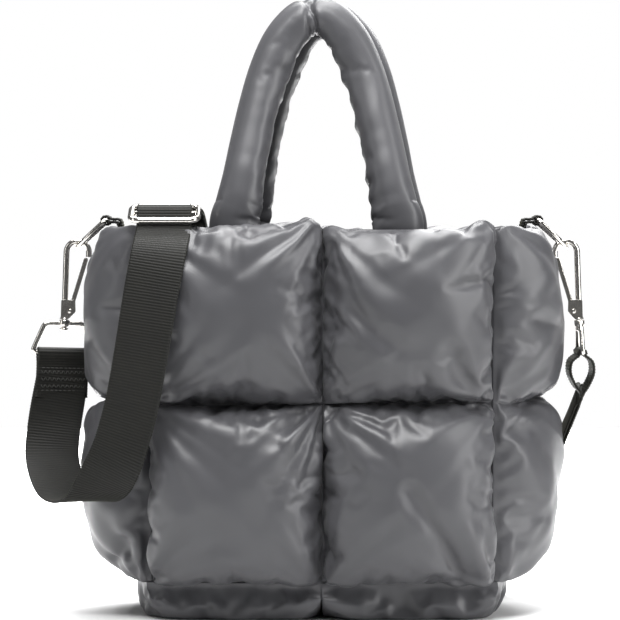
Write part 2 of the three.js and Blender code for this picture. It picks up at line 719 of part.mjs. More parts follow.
addPiece(bag, 'front_panel', frontWall(-1, frontFolds, frontSteps), finishes.nylon);
addPiece(bag, 'back_panel', frontWall(1, backFolds, plainSteps), finishes.nylon);
addPiece(bag, 'left_side_panel', gusset(-1, leftSideFolds), finishes.nylon);
addPiece(bag, 'right_side_panel', gusset(1, rightSideFolds), finishes.nylon);
addPiece(bag, 'base_panel', baseWall(), finishes.nylon);
addPiece(bag, 'front_handle', handle(-1), finishes.nylon);
addPiece(bag, 'back_handle', handle(1), finishes.nylon);

const clasps = {};
for (const [side, facing] of [['left', -1], ['right', 1]]) {
  const tab = addPiece(bag, `${side}_ring_tab`, ringTab(), finishes.webbing);
  tab.rotation.z = facing > 0 ? 0 : Math.PI;

  const ring = addPiece(bag, `${side}_bag_ring`, bagRing().rotateZ(Math.PI / 2), finishes.nickel);
  ring.position.set(facing * barX, 0, barZ);
  ring.rotation.y = -facing * (Math.PI / 2 - bagRingSlope);

  const clasp = claspGroup(facing);
  bag.add(clasp);
  addPiece(clasp, `${side}_hook`, hookBody(), finishes.nickel);
  addPiece(clasp, `${side}_hook_gate`, hookLever(), finishes.nickel);
  const carrier = addPiece(clasp, `${side}_strap_ring`, strapRing(), finishes.nickel);
  carrier.rotation.z = facing > 0 ? Math.PI / 2 : leftRingTurn;
  carrier.updateMatrix();
  clasp.userData.barSide = new THREE.Vector3(1, 0, 0)
    .transformDirection(carrier.matrix).transformDirection(clasp.matrix);
  clasps[side] = clasp;
}

// The strap's ring bars and the slider, where the webbing wraps round them
const ringBar = new THREE.Vector3(0, 0, eyeMiddle() - strapRingHeight);
const leftBar = ringBar.clone().applyMatrix4(clasps.left.matrix);
const rightBar = ringBar.clone().applyMatrix4(clasps.right.matrix);
const xAxis = new THREE.Vector3(1, 0, 0);
const yAxis = new THREE.Vector3(0, 1, 0);
const zAxis = new THREE.Vector3(0, 0, 1);

const sliderMiddle = new THREE.Vector3(
  sliderPlace.x * halfPanel, sliderPlace.y * halfDepth, topEdge + sliderPlace.above);
const sliderAlong = new THREE.Vector3(0, Math.cos(sliderTilt), Math.sin(sliderTilt));
const sliderUp = new THREE.Vector3(0, -Math.sin(sliderTilt), Math.cos(sliderTilt));
const sliderMesh = addPiece(bag, 'strap_slider', slider(), finishes.nickel);
sliderMesh.position.copy(sliderMiddle);
sliderMesh.rotation.x = sliderTilt - Math.PI / 2;

const underBar = sliderWire / 2 + seat + webbingThickness / 2 + 1.4;
const overBar = wrapRadius(sliderBar) + webbingThickness + layerGap;
const sliderHalf = sliderLength / 2;

// From the sewn end behind the left ring, round its bar, through the hanging bend to the slider
function frontRun() {
  const barSide = clasps.left.userData.barSide;
  const down = new THREE.Vector3(0, 0, -1).transformDirection(clasps.left.matrix);
  const radius = wrapRadius(strapRingWire);
  const outward = new THREE.Vector3().crossVectors(barSide, down);
  const wrap = inPlane(leftBar, down.clone().negate(), outward, barSide, [
    [-foldLength, layerLift],
    [-foldLength / 2, layerLift],
    [-9, layerLift],
    [-3, radius - 0.3],
    ...arcPairs(radius, 0, 180, 8),
    [-3, -radius + 0.3],
    [-9, -layerLift],
    [-foldLength / 2, -layerLift],
  ]);
  const entry = inPlane(sliderMiddle, sliderAlong, sliderUp, xAxis, [
    [-sliderHalf - 3, -underBar - 0.8],
    [-sliderHalf - 1, -underBar],
    [-sliderHalf + 6, -underBar / 8],
    [-3, overBar],
    [3, overBar],
    [sliderHalf - 6, -underBar / 8],
    [sliderHalf - 1, -underBar],
    [sliderHalf, -underBar],
  ]);
  const hanging = routeStations(frontRoute, [wrap.at(-1)], [entry[0]], 4);
  return ribbon([...wrap, ...hanging.slice(1), ...entry.slice(1)]);
}

// From the slider over the top, down behind the bag, round the right ring and back as a second layer
function backRun() {
  const start = inPlane(sliderMiddle, sliderAlong, sliderUp, xAxis, [
    [sliderHalf + 5 * seat, -underBar - layerLift],
    [sliderHalf + 5, -underBar - layerLift - 0.2],
  ]);
  const ringSide = yAxis.clone();
  const bottom = rightBar.clone().addScaledVector(zAxis, -28);
  const finish = [{ point: bottom, side: ringSide }];
  const route = routeStations(backRoute, start, finish, 3);
  const outerLayer = layer(route, -layerLift);
  const innerLayer = layer(route, layerLift).reverse();
  const radius = wrapRadius(strapRingWire);
  const loop = inPlane(rightBar, zAxis, xAxis, ringSide, [
    [-20, -4.5],
    [-10, -6],
    [-3, -4.8],
    ...arcPairs(radius, 200, -20, 8),
    [-3, 4.8],
    [-10, 6],
    [-20, 4.5],
  ]);
  const end = inPlane(sliderMiddle, sliderAlong, sliderUp, xAxis, [
    [9, -underBar - 1.3],
    [4, -wrapRadius(sliderBar) - 0.1],
    ...arcPairs(wrapRadius(sliderBar), 180, 390, 8),
  ]);
  const lead = [outerLayer, innerLayer].map((list) => list.at(outerLayer === list ? -1 : 0).point.x);
  const legs = lead[0] < lead[1] ? loop : loop.reverse();
  return ribbon([...outerLayer, ...legs, ...innerLayer, ...end]);
}

addPiece(bag, 'strap_front_run', frontRun(), finishes.webbing);
addPiece(bag, 'strap_back_run', backRun(), finishes.webbing);

// The origin is the bottom centre of the whole bag's box.
bag.updateMatrixWorld(true);
const reach = new THREE.Box3().setFromObject(bag, true);
bag.position.set(-(reach.min.x + reach.max.x) / 2, -(reach.min.y + reach.max.y) / 2, -reach.min.z);

export default bag;
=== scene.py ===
# Quilted puffer tote bag with two stuffed handles and a webbing shoulder strap on snap hooks.
import math
import bpy
import numpy as np
from mathutils import Matrix, Vector, noise


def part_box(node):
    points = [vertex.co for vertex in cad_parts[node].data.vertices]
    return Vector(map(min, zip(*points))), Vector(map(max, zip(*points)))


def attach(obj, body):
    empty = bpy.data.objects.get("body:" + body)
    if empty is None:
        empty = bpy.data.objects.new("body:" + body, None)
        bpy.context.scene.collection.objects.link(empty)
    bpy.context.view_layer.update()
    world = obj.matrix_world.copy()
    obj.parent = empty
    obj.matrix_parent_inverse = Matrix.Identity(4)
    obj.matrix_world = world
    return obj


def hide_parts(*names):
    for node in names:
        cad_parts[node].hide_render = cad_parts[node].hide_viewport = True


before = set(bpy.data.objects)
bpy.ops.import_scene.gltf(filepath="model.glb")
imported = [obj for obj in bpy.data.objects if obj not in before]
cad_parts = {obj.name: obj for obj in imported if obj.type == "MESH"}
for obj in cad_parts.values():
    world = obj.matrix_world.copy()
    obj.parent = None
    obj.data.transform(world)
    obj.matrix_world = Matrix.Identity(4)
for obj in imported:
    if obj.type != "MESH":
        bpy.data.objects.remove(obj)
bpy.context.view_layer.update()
scene = bpy.context.scene

# Sizes of the bag in millimetres, in the bag's own frame: the origin is under the middle of its
# body, +X to the right, -Y to the front, +Z up.
PANEL_WIDTH = 236
PANEL_HEIGHT = 249
BODY_DEPTH = 120
SEAM_THICKNESS = 4
FRONT_LOFT = 32
SIDE_LOFT = 17
INSIDE_LOFT = 10
FRONT_BOW = 8
SIDE_BOW = 28
BASE_LOFT = 32
BASE_RISE = 24
BASE_PINCH = 0.7
BASE_BULGE = 19
BASE_PRESS = 15
BULGE_POWER = 5
TOP_ROLL = 4
EDGE_BULGE = 5
PINCH_POWER = 6
SEAT = 0.3
BOTTOM_SEAM = BASE_RISE + SEAM_THICKNESS / 2 + SEAT
TOP_EDGE = BOTTOM_SEAM + PANEL_HEIGHT
HALF_PANEL = PANEL_WIDTH / 2
HALF_DEPTH = BODY_DEPTH / 2
HALF_SIDE = HALF_DEPTH + SEAM_THICKNESS / 2
GUSSET_SEAM = HALF_PANEL + SEAT + SEAM_THICKNESS / 2
SEAM_BAND = SEAM_THICKNESS + 1

base_low, base_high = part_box("base_panel")
BAG_MIDDLE = np.array([(base_low.x + base_high.x) / 2, (base_low.y + base_high.y) / 2, 0.0])


def in_metres(points):
    """Points of the bag's own frame in millimetres, as metres in the shared frame."""
    return np.asarray(points, float) * 0.001 + BAG_MIDDLE


def linked(name, data):
    """Adds an object with this data to the scene."""
    thing = bpy.data.objects.new(name, data)
    scene.collection.objects.link(thing)
    return thing


def unit(vectors):
    return vectors / np.maximum(np.linalg.norm(vectors, axis=-1, keepdims=True), 1e-12)


# Camera and studio. The photo's scale is its side in pixels, the millimetres of a pixel, and the
# column and row of the bag's origin.
PHOTO_SIDE = 620
PIXEL = 0.70
ORIGIN_COLUMN = 322
ORIGIN_ROW = 617
LENS = 190
CAMERA_RISE = math.radians(1.5)
FLOOR_RADIUS = 1.5


def aim(thing, place, target):
    """Puts a camera or light at a place and points it at its target."""
    thing.location = Vector(place)
    thing.rotation_mode = "QUATERNION"
    thing.rotation_quaternion = (Vector(target) - Vector(place)).to_track_quat("-Z", "Y")


def photo_camera():
    data = bpy.data.cameras.new("photo_camera")
    data.sensor_width = 36
    data.lens = LENS
    camera = linked("photo_camera", data)
    away = PHOTO_SIDE * PIXEL * 0.001 * data.lens / data.sensor_width
    middle = PHOTO_SIDE / 2
    target = in_metres([(middle - ORIGIN_COLUMN) * PIXEL, -45, (ORIGIN_ROW - middle) * PIXEL])
    view = np.array([0, -math.cos(CAMERA_RISE), math.sin(CAMERA_RISE)])
    aim(camera, target + away * view, target)
    data.clip_start = 0.05
    data.clip_end = 50
    scene.camera = camera


def soft_box(name, place, target, width, height, power, spread=180):
    """A rectangular area light in metres and watts, with its spread in degrees."""
    data = bpy.data.lights.new(name, "AREA")
    data.shape = "RECTANGLE"
    data.size = width
    data.size_y = height
    data.energy = power
    data.spread = math.radians(spread)
    aim(linked(name, data), place, target)


def linear(hex_colour):
    """An sRGB hex colour as linear red, green, blue and alpha."""
    channels = [int(hex_colour[i:i + 2], 16) / 255 for i in (1, 3, 5)]
    return [c / 12.92 if c <= 0.04045 else ((c + 0.055) / 1.055) ** 2.4 for c in channels] + [1.0]


def add_node(tree, kind, settings, inputs):
    """Adds a node with its settings. An input is a value, or another node's output to link."""
    node = tree.nodes.new(kind)
    for name, value in settings.items():
        setattr(node, name, value)
    for key, value in inputs.items():
        if isinstance(value, bpy.types.NodeSocket):
            tree.links.new(value, node.inputs[key])
        else:
            node.inputs[key].default_value = value
    return node


def new_material(name):
    """An empty material and its node tree."""
    material = bpy.data.materials.new(name)
    material.use_nodes = True
    material.node_tree.nodes.clear()
    return material, material.node_tree


def in_object(tree):
    """The place in the object, in metres, that is being shaded."""
    return add_node(tree, "ShaderNodeTexCoord", {}, {}).outputs["Object"]


def mottled(tree, where, scale, inputs, kind="FBM"):
    """Noise from 0 to 1."""
    inputs = {"Vector": where, "Scale": scale, **inputs}
    return add_node(tree, "ShaderNodeTexNoise", {"noise_type": kind}, inputs).outputs["Fac"]


def banded(tree, where, scale, direction, inputs):
    """Waves from 0 to 1 in one direction."""
    inputs = {"Vector": where, "Scale": scale, **inputs}
    return add_node(tree, "ShaderNodeTexWave", {"bands_direction": direction}, inputs).outputs["Fac"]


def ranged(tree, value, low, high):
    """A value from 0 to 1, brought between two others."""
    inputs = {"Value": value, "To Min": low, "To Max": high}
    return add_node(tree, "ShaderNodeMapRange", {}, inputs).outputs["Result"]


def blended(tree, share, first, second):
    """A colour between two others, each a hex colour or another node's output."""
    first, second = (linear(end) if isinstance(end, str) else end for end in (first, second))
    inputs = {"Factor": share, "A": first, "B": second}
    return add_node(tree, "ShaderNodeMix", {"data_type": "RGBA"}, inputs).outputs["Result"]


def bumped(tree, height, strength, distance, under=None):
    """A normal raised by a height, over another normal where one is given."""
    inputs = {"Height": height, "Strength": strength, "Distance": distance}
    if under is not None:
        inputs["Normal"] = under
    return add_node(tree, "ShaderNodeBump", {}, inputs).outputs["Normal"]


def surfaced(tree, looks):
    """Ends a material with its surface."""
    surface = add_node(tree, "ShaderNodeBsdfPrincipled", {}, looks)
    add_node(tree, "ShaderNodeOutputMaterial", {}, {"Surface": surface.outputs["BSDF"]})


def pale_paper():
    """Matt white background paper: an even pale ground with the faintest fibre."""
    material, tree = new_material("matt_white_paper")
    where = in_object(tree)
    fibre = mottled(tree, where, 900.0, {})
    surfaced(tree, {
        "Base Color": linear("#e2e2e2"), "Roughness": 0.9,
        "Normal": bumped(tree, fibre, 0.05, 0.0002)})
    return material


def studio():
    """A round paper floor just below the bag, an even white surround and soft boxes."""
    turns = np.linspace(0, 2 * math.pi, 96, endpoint=False)
    x, y, z = in_metres([0, 620, -0.2])
    rim = [(x + FLOOR_RADIUS * math.cos(t), y + FLOOR_RADIUS * math.sin(t), z) for t in turns]
    floor = bpy.data.meshes.new("paper_floor")
    floor.from_pydata(rim, [], [list(range(len(rim)))])
    floor.materials.append(pale_paper())
    linked("paper_floor", floor)
    # the surround is white to the eye, and gives the bag only a little even light
    world = bpy.data.worlds.new("pale_studio")
    world.use_nodes = True
    tree = world.node_tree
    tree.nodes.clear()
    rays = add_node(tree, "ShaderNodeLightPath", {}, {})
    glow = add_node(tree, "ShaderNodeBackground", {}, {
        "Color": linear("#ffffff"), "Strength": ranged(tree, rays.outputs["Is Camera Ray"], 0.12, 1.0)})
    add_node(tree, "ShaderNodeOutputWorld", {}, {"Surface": glow.outputs["Background"]})
    scene.world = world
    look = in_metres([0, -20, 170])
    soft_box("front_box", look + np.array([-0.10, -0.60, 0.96]), look, 0.7, 0.35, 14)
    soft_box("top_box", look + np.array([0.1, -0.10, 1.20]), look, 0.9, 0.5, 6, 100)
    soft_box("left_box", look + np.array([-1.25, -0.50, 0.40]), look, 0.20, 1.1, 2.5)
    soft_box("right_box", look + np.array([1.20, -0.62, 0.40]), look, 0.28, 1.2, 13)
    soft_box("rear_box", look + np.array([0.5, 1.2, 0.9]), look, 0.9, 0.6, 14)
    soft_box("floor_box", in_metres([0, 1250, 1800]), in_metres([0, 1350, 0]), 2.4, 1.4, 110, 92)
    scene.view_settings.view_transform = "Standard"


photo_camera()
studio()


# Nylon
def coated_nylon():
    """Coated nylon taffeta, woven and calendered: charcoal with a satin gloss and soft crinkles."""
    material, tree = new_material("coated_nylon_taffeta")
    where = in_object(tree)
    # slow changes of shade, some 60 mm across
    shade = mottled(tree, where, 16.0, {"Detail": 3.0, "Roughness": 0.5})
    # crinkles of the coated cloth, 10 to 25 mm apart
    crinkle = mottled(tree, where, 26.0, {
        "Detail": 3.0, "Roughness": 0.5, "Distortion": 0.6}, "RIDGED_MULTIFRACTAL")
    # the taffeta's weave of 0.2 mm threads, drawn at 0.7 mm so that it can show at all
    weave = banded(tree, where, 220.0, "DIAGONAL", {"Distortion": 1.0, "Detail": 1.0})
    crinkled = bumped(tree, crinkle, 0.09, 0.0014)
    surfaced(tree, {
        "Base Color": blended(tree, shade, "#3e3e41", "#4a4a4d"),
        "Roughness": ranged(tree, shade, 0.37, 0.46),
        "IOR": 1.5, "Sheen Weight": 0.06, "Sheen Roughness": 0.4,
        "Normal": bumped(tree, weave, 0.05, 0.0001, crinkled)})
    return material


NYLON = coated_nylon()

# Folds and dents of the padded walls, each from one place to another. Places are shares of the
# wall's width and height. The last two are the depth, as a share of the pillow's loft, and the
# breadth, as a share of the pillow's width.
FRONT_FOLDS = [
    (0.49, 0.84, 0.72, 0.67, 0.20, 0.08),
    (0.86, 0.64, 0.94, 0.51, 0.30, 0.08),
    (0.91, 0.82, 0.98, 0.60, 0.16, 0.07),
    (0.62, 1.00, 0.66, 0.90, 0.22, 0.12),
    (0.03, 0.52, 0.16, 0.64, 0.18, 0.08),
    (0.75, 0.26, 0.90, 0.03, 0.22, 0.07),
    (0.43, 0.49, 0.37, 0.38, 0.22, 0.08),
    (0.53, 0.46, 0.66, 0.36, 0.10, 0.08),
    (0.10, 0.88, 0.11, 1.00, 0.18, 0.20),
]
BACK_FOLDS = [
    (0.08, 0.55, 0.20, 0.68, 0.20, 0.10),
    (0.92, 0.42, 0.78, 0.30, 0.20, 0.10),
]
TAB_DENT = (0.50, 0.84, 0.50, 1.00, 0.90, 0.20)
RING_DENT = (0.50, 0.60, 0.50, 0.67, 0.40, 0.17)
LEFT_SIDE_FOLDS = [
    TAB_DENT,
    RING_DENT,
    (0.12, 0.47, 0.45, 0.38, 0.25, 0.09),
    (0.10, 0.10, 0.40, 0.03, 0.30, 0.09),
]
RIGHT_SIDE_FOLDS = [
    TAB_DENT,
    (0.10, 0.45, 0.48, 0.22, 0.36, 0.09),
    (0.18, 0.72, 0.36, 0.70, 0.25, 0.08),
]


# the last share of a wall that still belongs to its last pillow
LAST_SHARE = 0.999999


def stuffed(share, pillows):
    """Height of a stuffed pillow across one direction: steep at the seams, round on top."""
    place = np.abs(2 * ((share * pillows) % 1) - 1)
    return np.maximum(0, 1 - place ** 2.5) ** 0.4


def lined(share, pillows, length):
    """Height of a pillow's inside, flat for a band along each seam."""
    pillow = length / pillows
    place = ((share * pillows) % 1) * pillow
    return np.sin(np.pi * np.clip((place - SEAM_BAND) / (pillow - 2 * SEAM_BAND), 0, 1))


def fold_share(u, v, folds, width, height, pillow):
    """What the folds leave of a pillow's height at each place of a wall."""
    left = np.ones_like(u)
    for from_u, from_v, to_u, to_v, deep, wide in folds:
        start = np.array([from_u * width, from_v * height])
        line = np.array([to_u * width, to_v * height]) - start
        along = ((u * width - start[0]) * line[0] + (v * height - start[1]) * line[1]) / (line @ line)
        along = np.clip(along, 0, 1)
        off_u = u * width - start[0] - along * line[0]
        off_v = v * height - start[1] - along * line[1]
        left = left * (1 - deep * np.exp(-(off_u ** 2 + off_v ** 2) / (wide * pillow) ** 2))
    return left


def cloth_lines(pillows, length, loft, spacing):
    """Shares along a wall, in about equal steps on the stuffed surface, with one at each seam."""
    fine = np.linspace(0, 1, 4001)
    rise = loft * stuffed(np.clip(fine, 0, 0.99999), 1)
    travel = np.concatenate([[0], np.cumsum(np.hypot(np.diff(fine) * length / pillows, np.diff(rise)))])
    steps = 2 * max(4, round(travel[-1] / spacing / 2))
    one = np.interp(np.linspace(0, travel[-1], steps + 1), travel, fine)
    one[0] = 0
    one[-1] = 1
    lines = [0.0]
    for i in range(pillows):
        lines += list((i + one[1:]) / pillows)
    return np.array(lines)


def front_middle(x):
    """How far the front wall's middle sheet stands from the middle of the bag."""
    return HALF_DEPTH + FRONT_BOW * (1 - (x / HALF_PANEL) ** 2)


def gusset_bow(v):
    """How far a side wall bows out, which is less at the base."""
    return SIDE_BOW * (1 - BASE_PINCH * (1 - v) ** PINCH_POWER)


def gusset_middle(y, v):
    return GUSSET_SEAM + gusset_bow(v) * (1 - (y / HALF_SIDE) ** 2)


def wall_height(v):
    """Height of a wall's seams. The stuffing rolls up over the top seam, which lies a little lower."""
    return BOTTOM_SEAM + v * PANEL_HEIGHT - TOP_ROLL * v ** 8


def front_place(facing):
    """Places a point of the front or back wall at a height above its middle sheet."""
    def place(u, v, lift):
        x = (u - 0.5) * PANEL_WIDTH
        return np.stack([x, facing * (front_middle(x) + lift), wall_height(v)], -1)
    return place


def gusset_place(facing):
    """The same for a side wall."""
    def place(u, v, lift):
        y = (u - 0.5) * 2 * HALF_SIDE
        return np.stack([facing * (gusset_middle(y, v) + lift), y, wall_height(v)], -1)
    return place


def base_place(u, v, lift):
    """The same for the base, whose pillows hang down and bulge out at the front and back."""
    right = 2 * u - 1
    back = 2 * v - 1
    x = right * (GUSSET_SEAM + SEAM_THICKNESS / 2 + gusset_bow(0) * (1 - back * back))
    drop = np.clip((lift - SEAM_THICKNESS / 2) / (BASE_RISE - SEAM_THICKNESS / 2), 0, 1)
    bulge = BASE_BULGE * np.sin(np.pi / 2 * drop) * back ** BULGE_POWER
    y = back * (HALF_SIDE + FRONT_BOW * (1 - right * right)) + bulge
    return np.stack([x, y, np.maximum(0, BASE_RISE - lift)], -1)


# noise vectors differ from run to run unless they are given a seed
noise.seed_set(5)


def uneven(points):
    """Shifts points a little with their place, as hand-guided seams and packed wadding do."""
    shifts = []
    for point in points:
        slow = noise.noise_vector(Vector(point) / 40)
        quick = noise.noise_vector(Vector(point) / 15)
        shifts.append(tuple(slow * 1.8 + quick * 0.3))
    shifts = np.array(shifts)
    shifts[:, 2] *= np.clip(points[:, 2] / 20, 0, 1)
    return points + shifts


def crease(amount):
    """Turns smooth noise into broad rounds with narrow creases between them."""
    return 2.4 * np.sqrt(amount ** 2 + 0.003) - 0.55


def stretched_noise(along, out, along_scale, out_scale, seed):
    """Smooth noise whose grain is long across a seam and short along it."""
    rows = [noise.noise((a / along_scale, d / out_scale, seed)) for a, d in zip(along, out)]
    return np.array(rows)


def gathers(u, v, pillows, size, seed):
    """Height in millimetres of the folds that run from a quilted wall's seams and pillow corners."""
    width = size[0] / pillows[0]
    height = size[1] / pillows[1]
    column = np.minimum(np.floor(u * pillows[0] + 1e-9), pillows[0] - 1)
    row = np.minimum(np.floor(v * pillows[1] + 1e-9), pillows[1] - 1)
    across = u * size[0] - column * width
    up = v * size[1] - row * height
    lift = np.zeros_like(u)
    # short and long folds that leave each of the pillow's four seams
    sides = ((across, up), (width - across, up), (up, across), (height - up, across))
    for k, (out, along) in enumerate(sides):
        where = along + 200 * column + 430 * row
        out = np.maximum(out, 0)
        short = stretched_noise(where, out, 8, 60, seed + 3.7 * k)
        long = stretched_noise(where, out, 19, 110, seed + 1.9 + 3.7 * k)
        lift += 1.1 * crease(short) * np.exp(-out / 7) * (1 - np.exp(-out / 2))
        lift += 2.0 * crease(long) * np.exp(-out / 20) * (1 - np.exp(-out / 6))
    # folds that fan out from its four corners
    for k, (right, high) in enumerate(((0, 0), (0, 1), (1, 0), (1, 1))):
        side = np.abs(across - right * width)
        rise = np.abs(up - high * height)
        far = np.hypot(side, rise)
        turn = np.arctan2(rise, side) + 9 * column + 23 * row
        fold = stretched_noise(turn, far, 0.34, 160, seed + 31.3 + 5.1 * k)
        lift += 5.2 * crease(fold) * np.exp(-(far / 60) ** 2) * (1 - np.exp(-far / 14))
    return lift


# Peaks that the stuffing pushes up along the front's top edge: share of the width, rise and spread
TOP_PEAKS = [(0.455, 4.5, 0.030), (0.960, 4.5, 0.035), (0.06, 2.0, 0.05), (0.62, -2.0, 0.06)]


def peaked(u, v):
    """How far the front wall's top edge stands above or below its line, in millimetres."""
    rise = np.zeros_like(u)
    for middle, high, spread in TOP_PEAKS:
        rise += high * np.exp(-((u - middle) / spread) ** 2)
    return rise * v ** 14


def clear_of_neighbours(name, points):
    """Keeps a stuffed wall on its own side of the corners, seams and floor that it shares."""
    points = points.copy()
    apart = SEAT / 2
    if name in ("front_panel", "back_panel"):
        facing = -1 if name == "front_panel" else 1
        out = facing * points[:, 1] - HALF_DEPTH
        past = np.abs(points[:, 0]) - HALF_PANEL - np.maximum(out, 0) + apart
        points[:, 0] -= np.sign(points[:, 0]) * np.maximum(0, past)
        points[:, 2] = np.maximum(points[:, 2], BASE_RISE - 1)
    elif name == "base_panel":
        points[:, 2] = np.clip(points[:, 2], 0, BASE_RISE - 1.5)
    else:
        facing = -1 if name.startswith("left") else 1
        out = facing * points[:, 0] - HALF_PANEL
        past = np.abs(points[:, 1]) - HALF_DEPTH - np.maximum(out, 0) + apart
        points[:, 1] -= np.sign(points[:, 1]) * np.maximum(0, past)
        points[:, 2] = np.maximum(points[:, 2], BASE_RISE - 1)
    return points


# Stuffing: each cover is a cut of cloth sewn down along its seams and blown up by its wadding. A
# filling is its pressure and its cloth's slack. Travel is how far a point may go, in millimetres.
WALL_FILLING = (6.0, 0.10)
WALL_TRAVEL = 14
HANDLE_FILLING = (5.0, 0.015)
HANDLE_TRAVEL = 2
STUFFING_FRAMES = 24
covers = []


def signed_volume(mesh):
    mesh.calc_loop_triangles()
    corners = np.zeros(len(mesh.vertices) * 3)
    mesh.vertices.foreach_get("co", corners)
    corners = corners.reshape(-1, 3)
    triangles = np.zeros(len(mesh.loop_triangles) * 3, np.int32)
    mesh.loop_triangles.foreach_get("vertices", triangles)
    a, b, c = (corners[triangles.reshape(-1, 3)[:, i]] for i in range(3))
    return float(np.einsum("ij,ij->i", a, np.cross(b, c)).sum())


def closed_mesh(name, points, faces):
    """A smooth closed mesh of points in metres, with its faces turned outwards."""
    mesh = bpy.data.meshes.new(name)
    mesh.from_pydata([tuple(p) for p in points], [], [tuple(int(i) for i in f) for f in faces])
    mesh.update()
    if signed_volume(mesh) < 0:
        mesh.flip_normals()
    mesh.polygons.foreach_set("use_smooth", [True] * len(mesh.polygons))
    return mesh


def sew_cover(name, points, faces, sewn, pressure, slack):
    """Adds one cover, whose sewn points stay where they are, to those that are stuffed together."""
    cover = linked(name + "_cover", closed_mesh(name + "_cover", points, faces))
    group = cover.vertex_groups.new(name="sewn")
    group.add([int(i) for i in sewn], 1.0, "REPLACE")
    stuffing = cover.modifiers.new("stuffing", "CLOTH")
    cloth = stuffing.settings
    cloth.quality = 4
    cloth.mass = 0.3
    cloth.vertex_group_mass = "sewn"
    cloth.tension_stiffness = 15
    cloth.compression_stiffness = 15
    cloth.shear_stiffness = 5
    cloth.bending_stiffness = 0.01
    cloth.use_pressure = True
    cloth.uniform_pressure_force = pressure
    cloth.shrink_min = -slack
    cloth.shrink_max = -slack
    cloth.effector_weights.gravity = 0
    stuffing.collision_settings.use_collision = False
    stuffing.point_cache.frame_start = 1
    stuffing.point_cache.frame_end = 60
    covers.append(cover)


def stuff_covers():
    """Blows up all covers side by side and returns their points by name."""
    for moment in range(1, STUFFING_FRAMES + 1):
        scene.frame_set(moment)
    graph = bpy.context.evaluated_depsgraph_get()
    shapes = {}
    for cover in covers:
        made = cover.evaluated_get(graph).data
        flat = np.zeros(len(made.vertices) * 3)
        made.vertices.foreach_get("co", flat)
        shapes[cover.name] = flat.reshape(-1, 3)
    for cover in covers:
        bpy.data.objects.remove(cover)
    scene.frame_set(1)
    return shapes


def held_travel(start, end, most):
    """Keeps each point within a distance of where it started."""
    way = end - start
    length = np.linalg.norm(way, axis=1, keepdims=True)
    return start + way * np.minimum(1, most / np.maximum(length, 1e-9))


def grid_faces(across, up):
    """Faces of a grid of points, row by row."""
    corner = np.arange(across - 1)[None, :] + across * np.arange(up - 1)[:, None]
    corner = corner.ravel()
    return np.stack([corner, corner + 1, corner + 1 + across, corner + across], 1)


def rim_loop(across, up):
    """The grid's outer points in order, once round."""
    last = across * up
    bottom = list(range(across - 1))
    right = [j * across + across - 1 for j in range(up - 1)]
    top = [last - 1 - i for i in range(across - 1)]
    left = [j * across for j in range(up - 1, 0, -1)]
    return np.array(bottom + right + top + left)


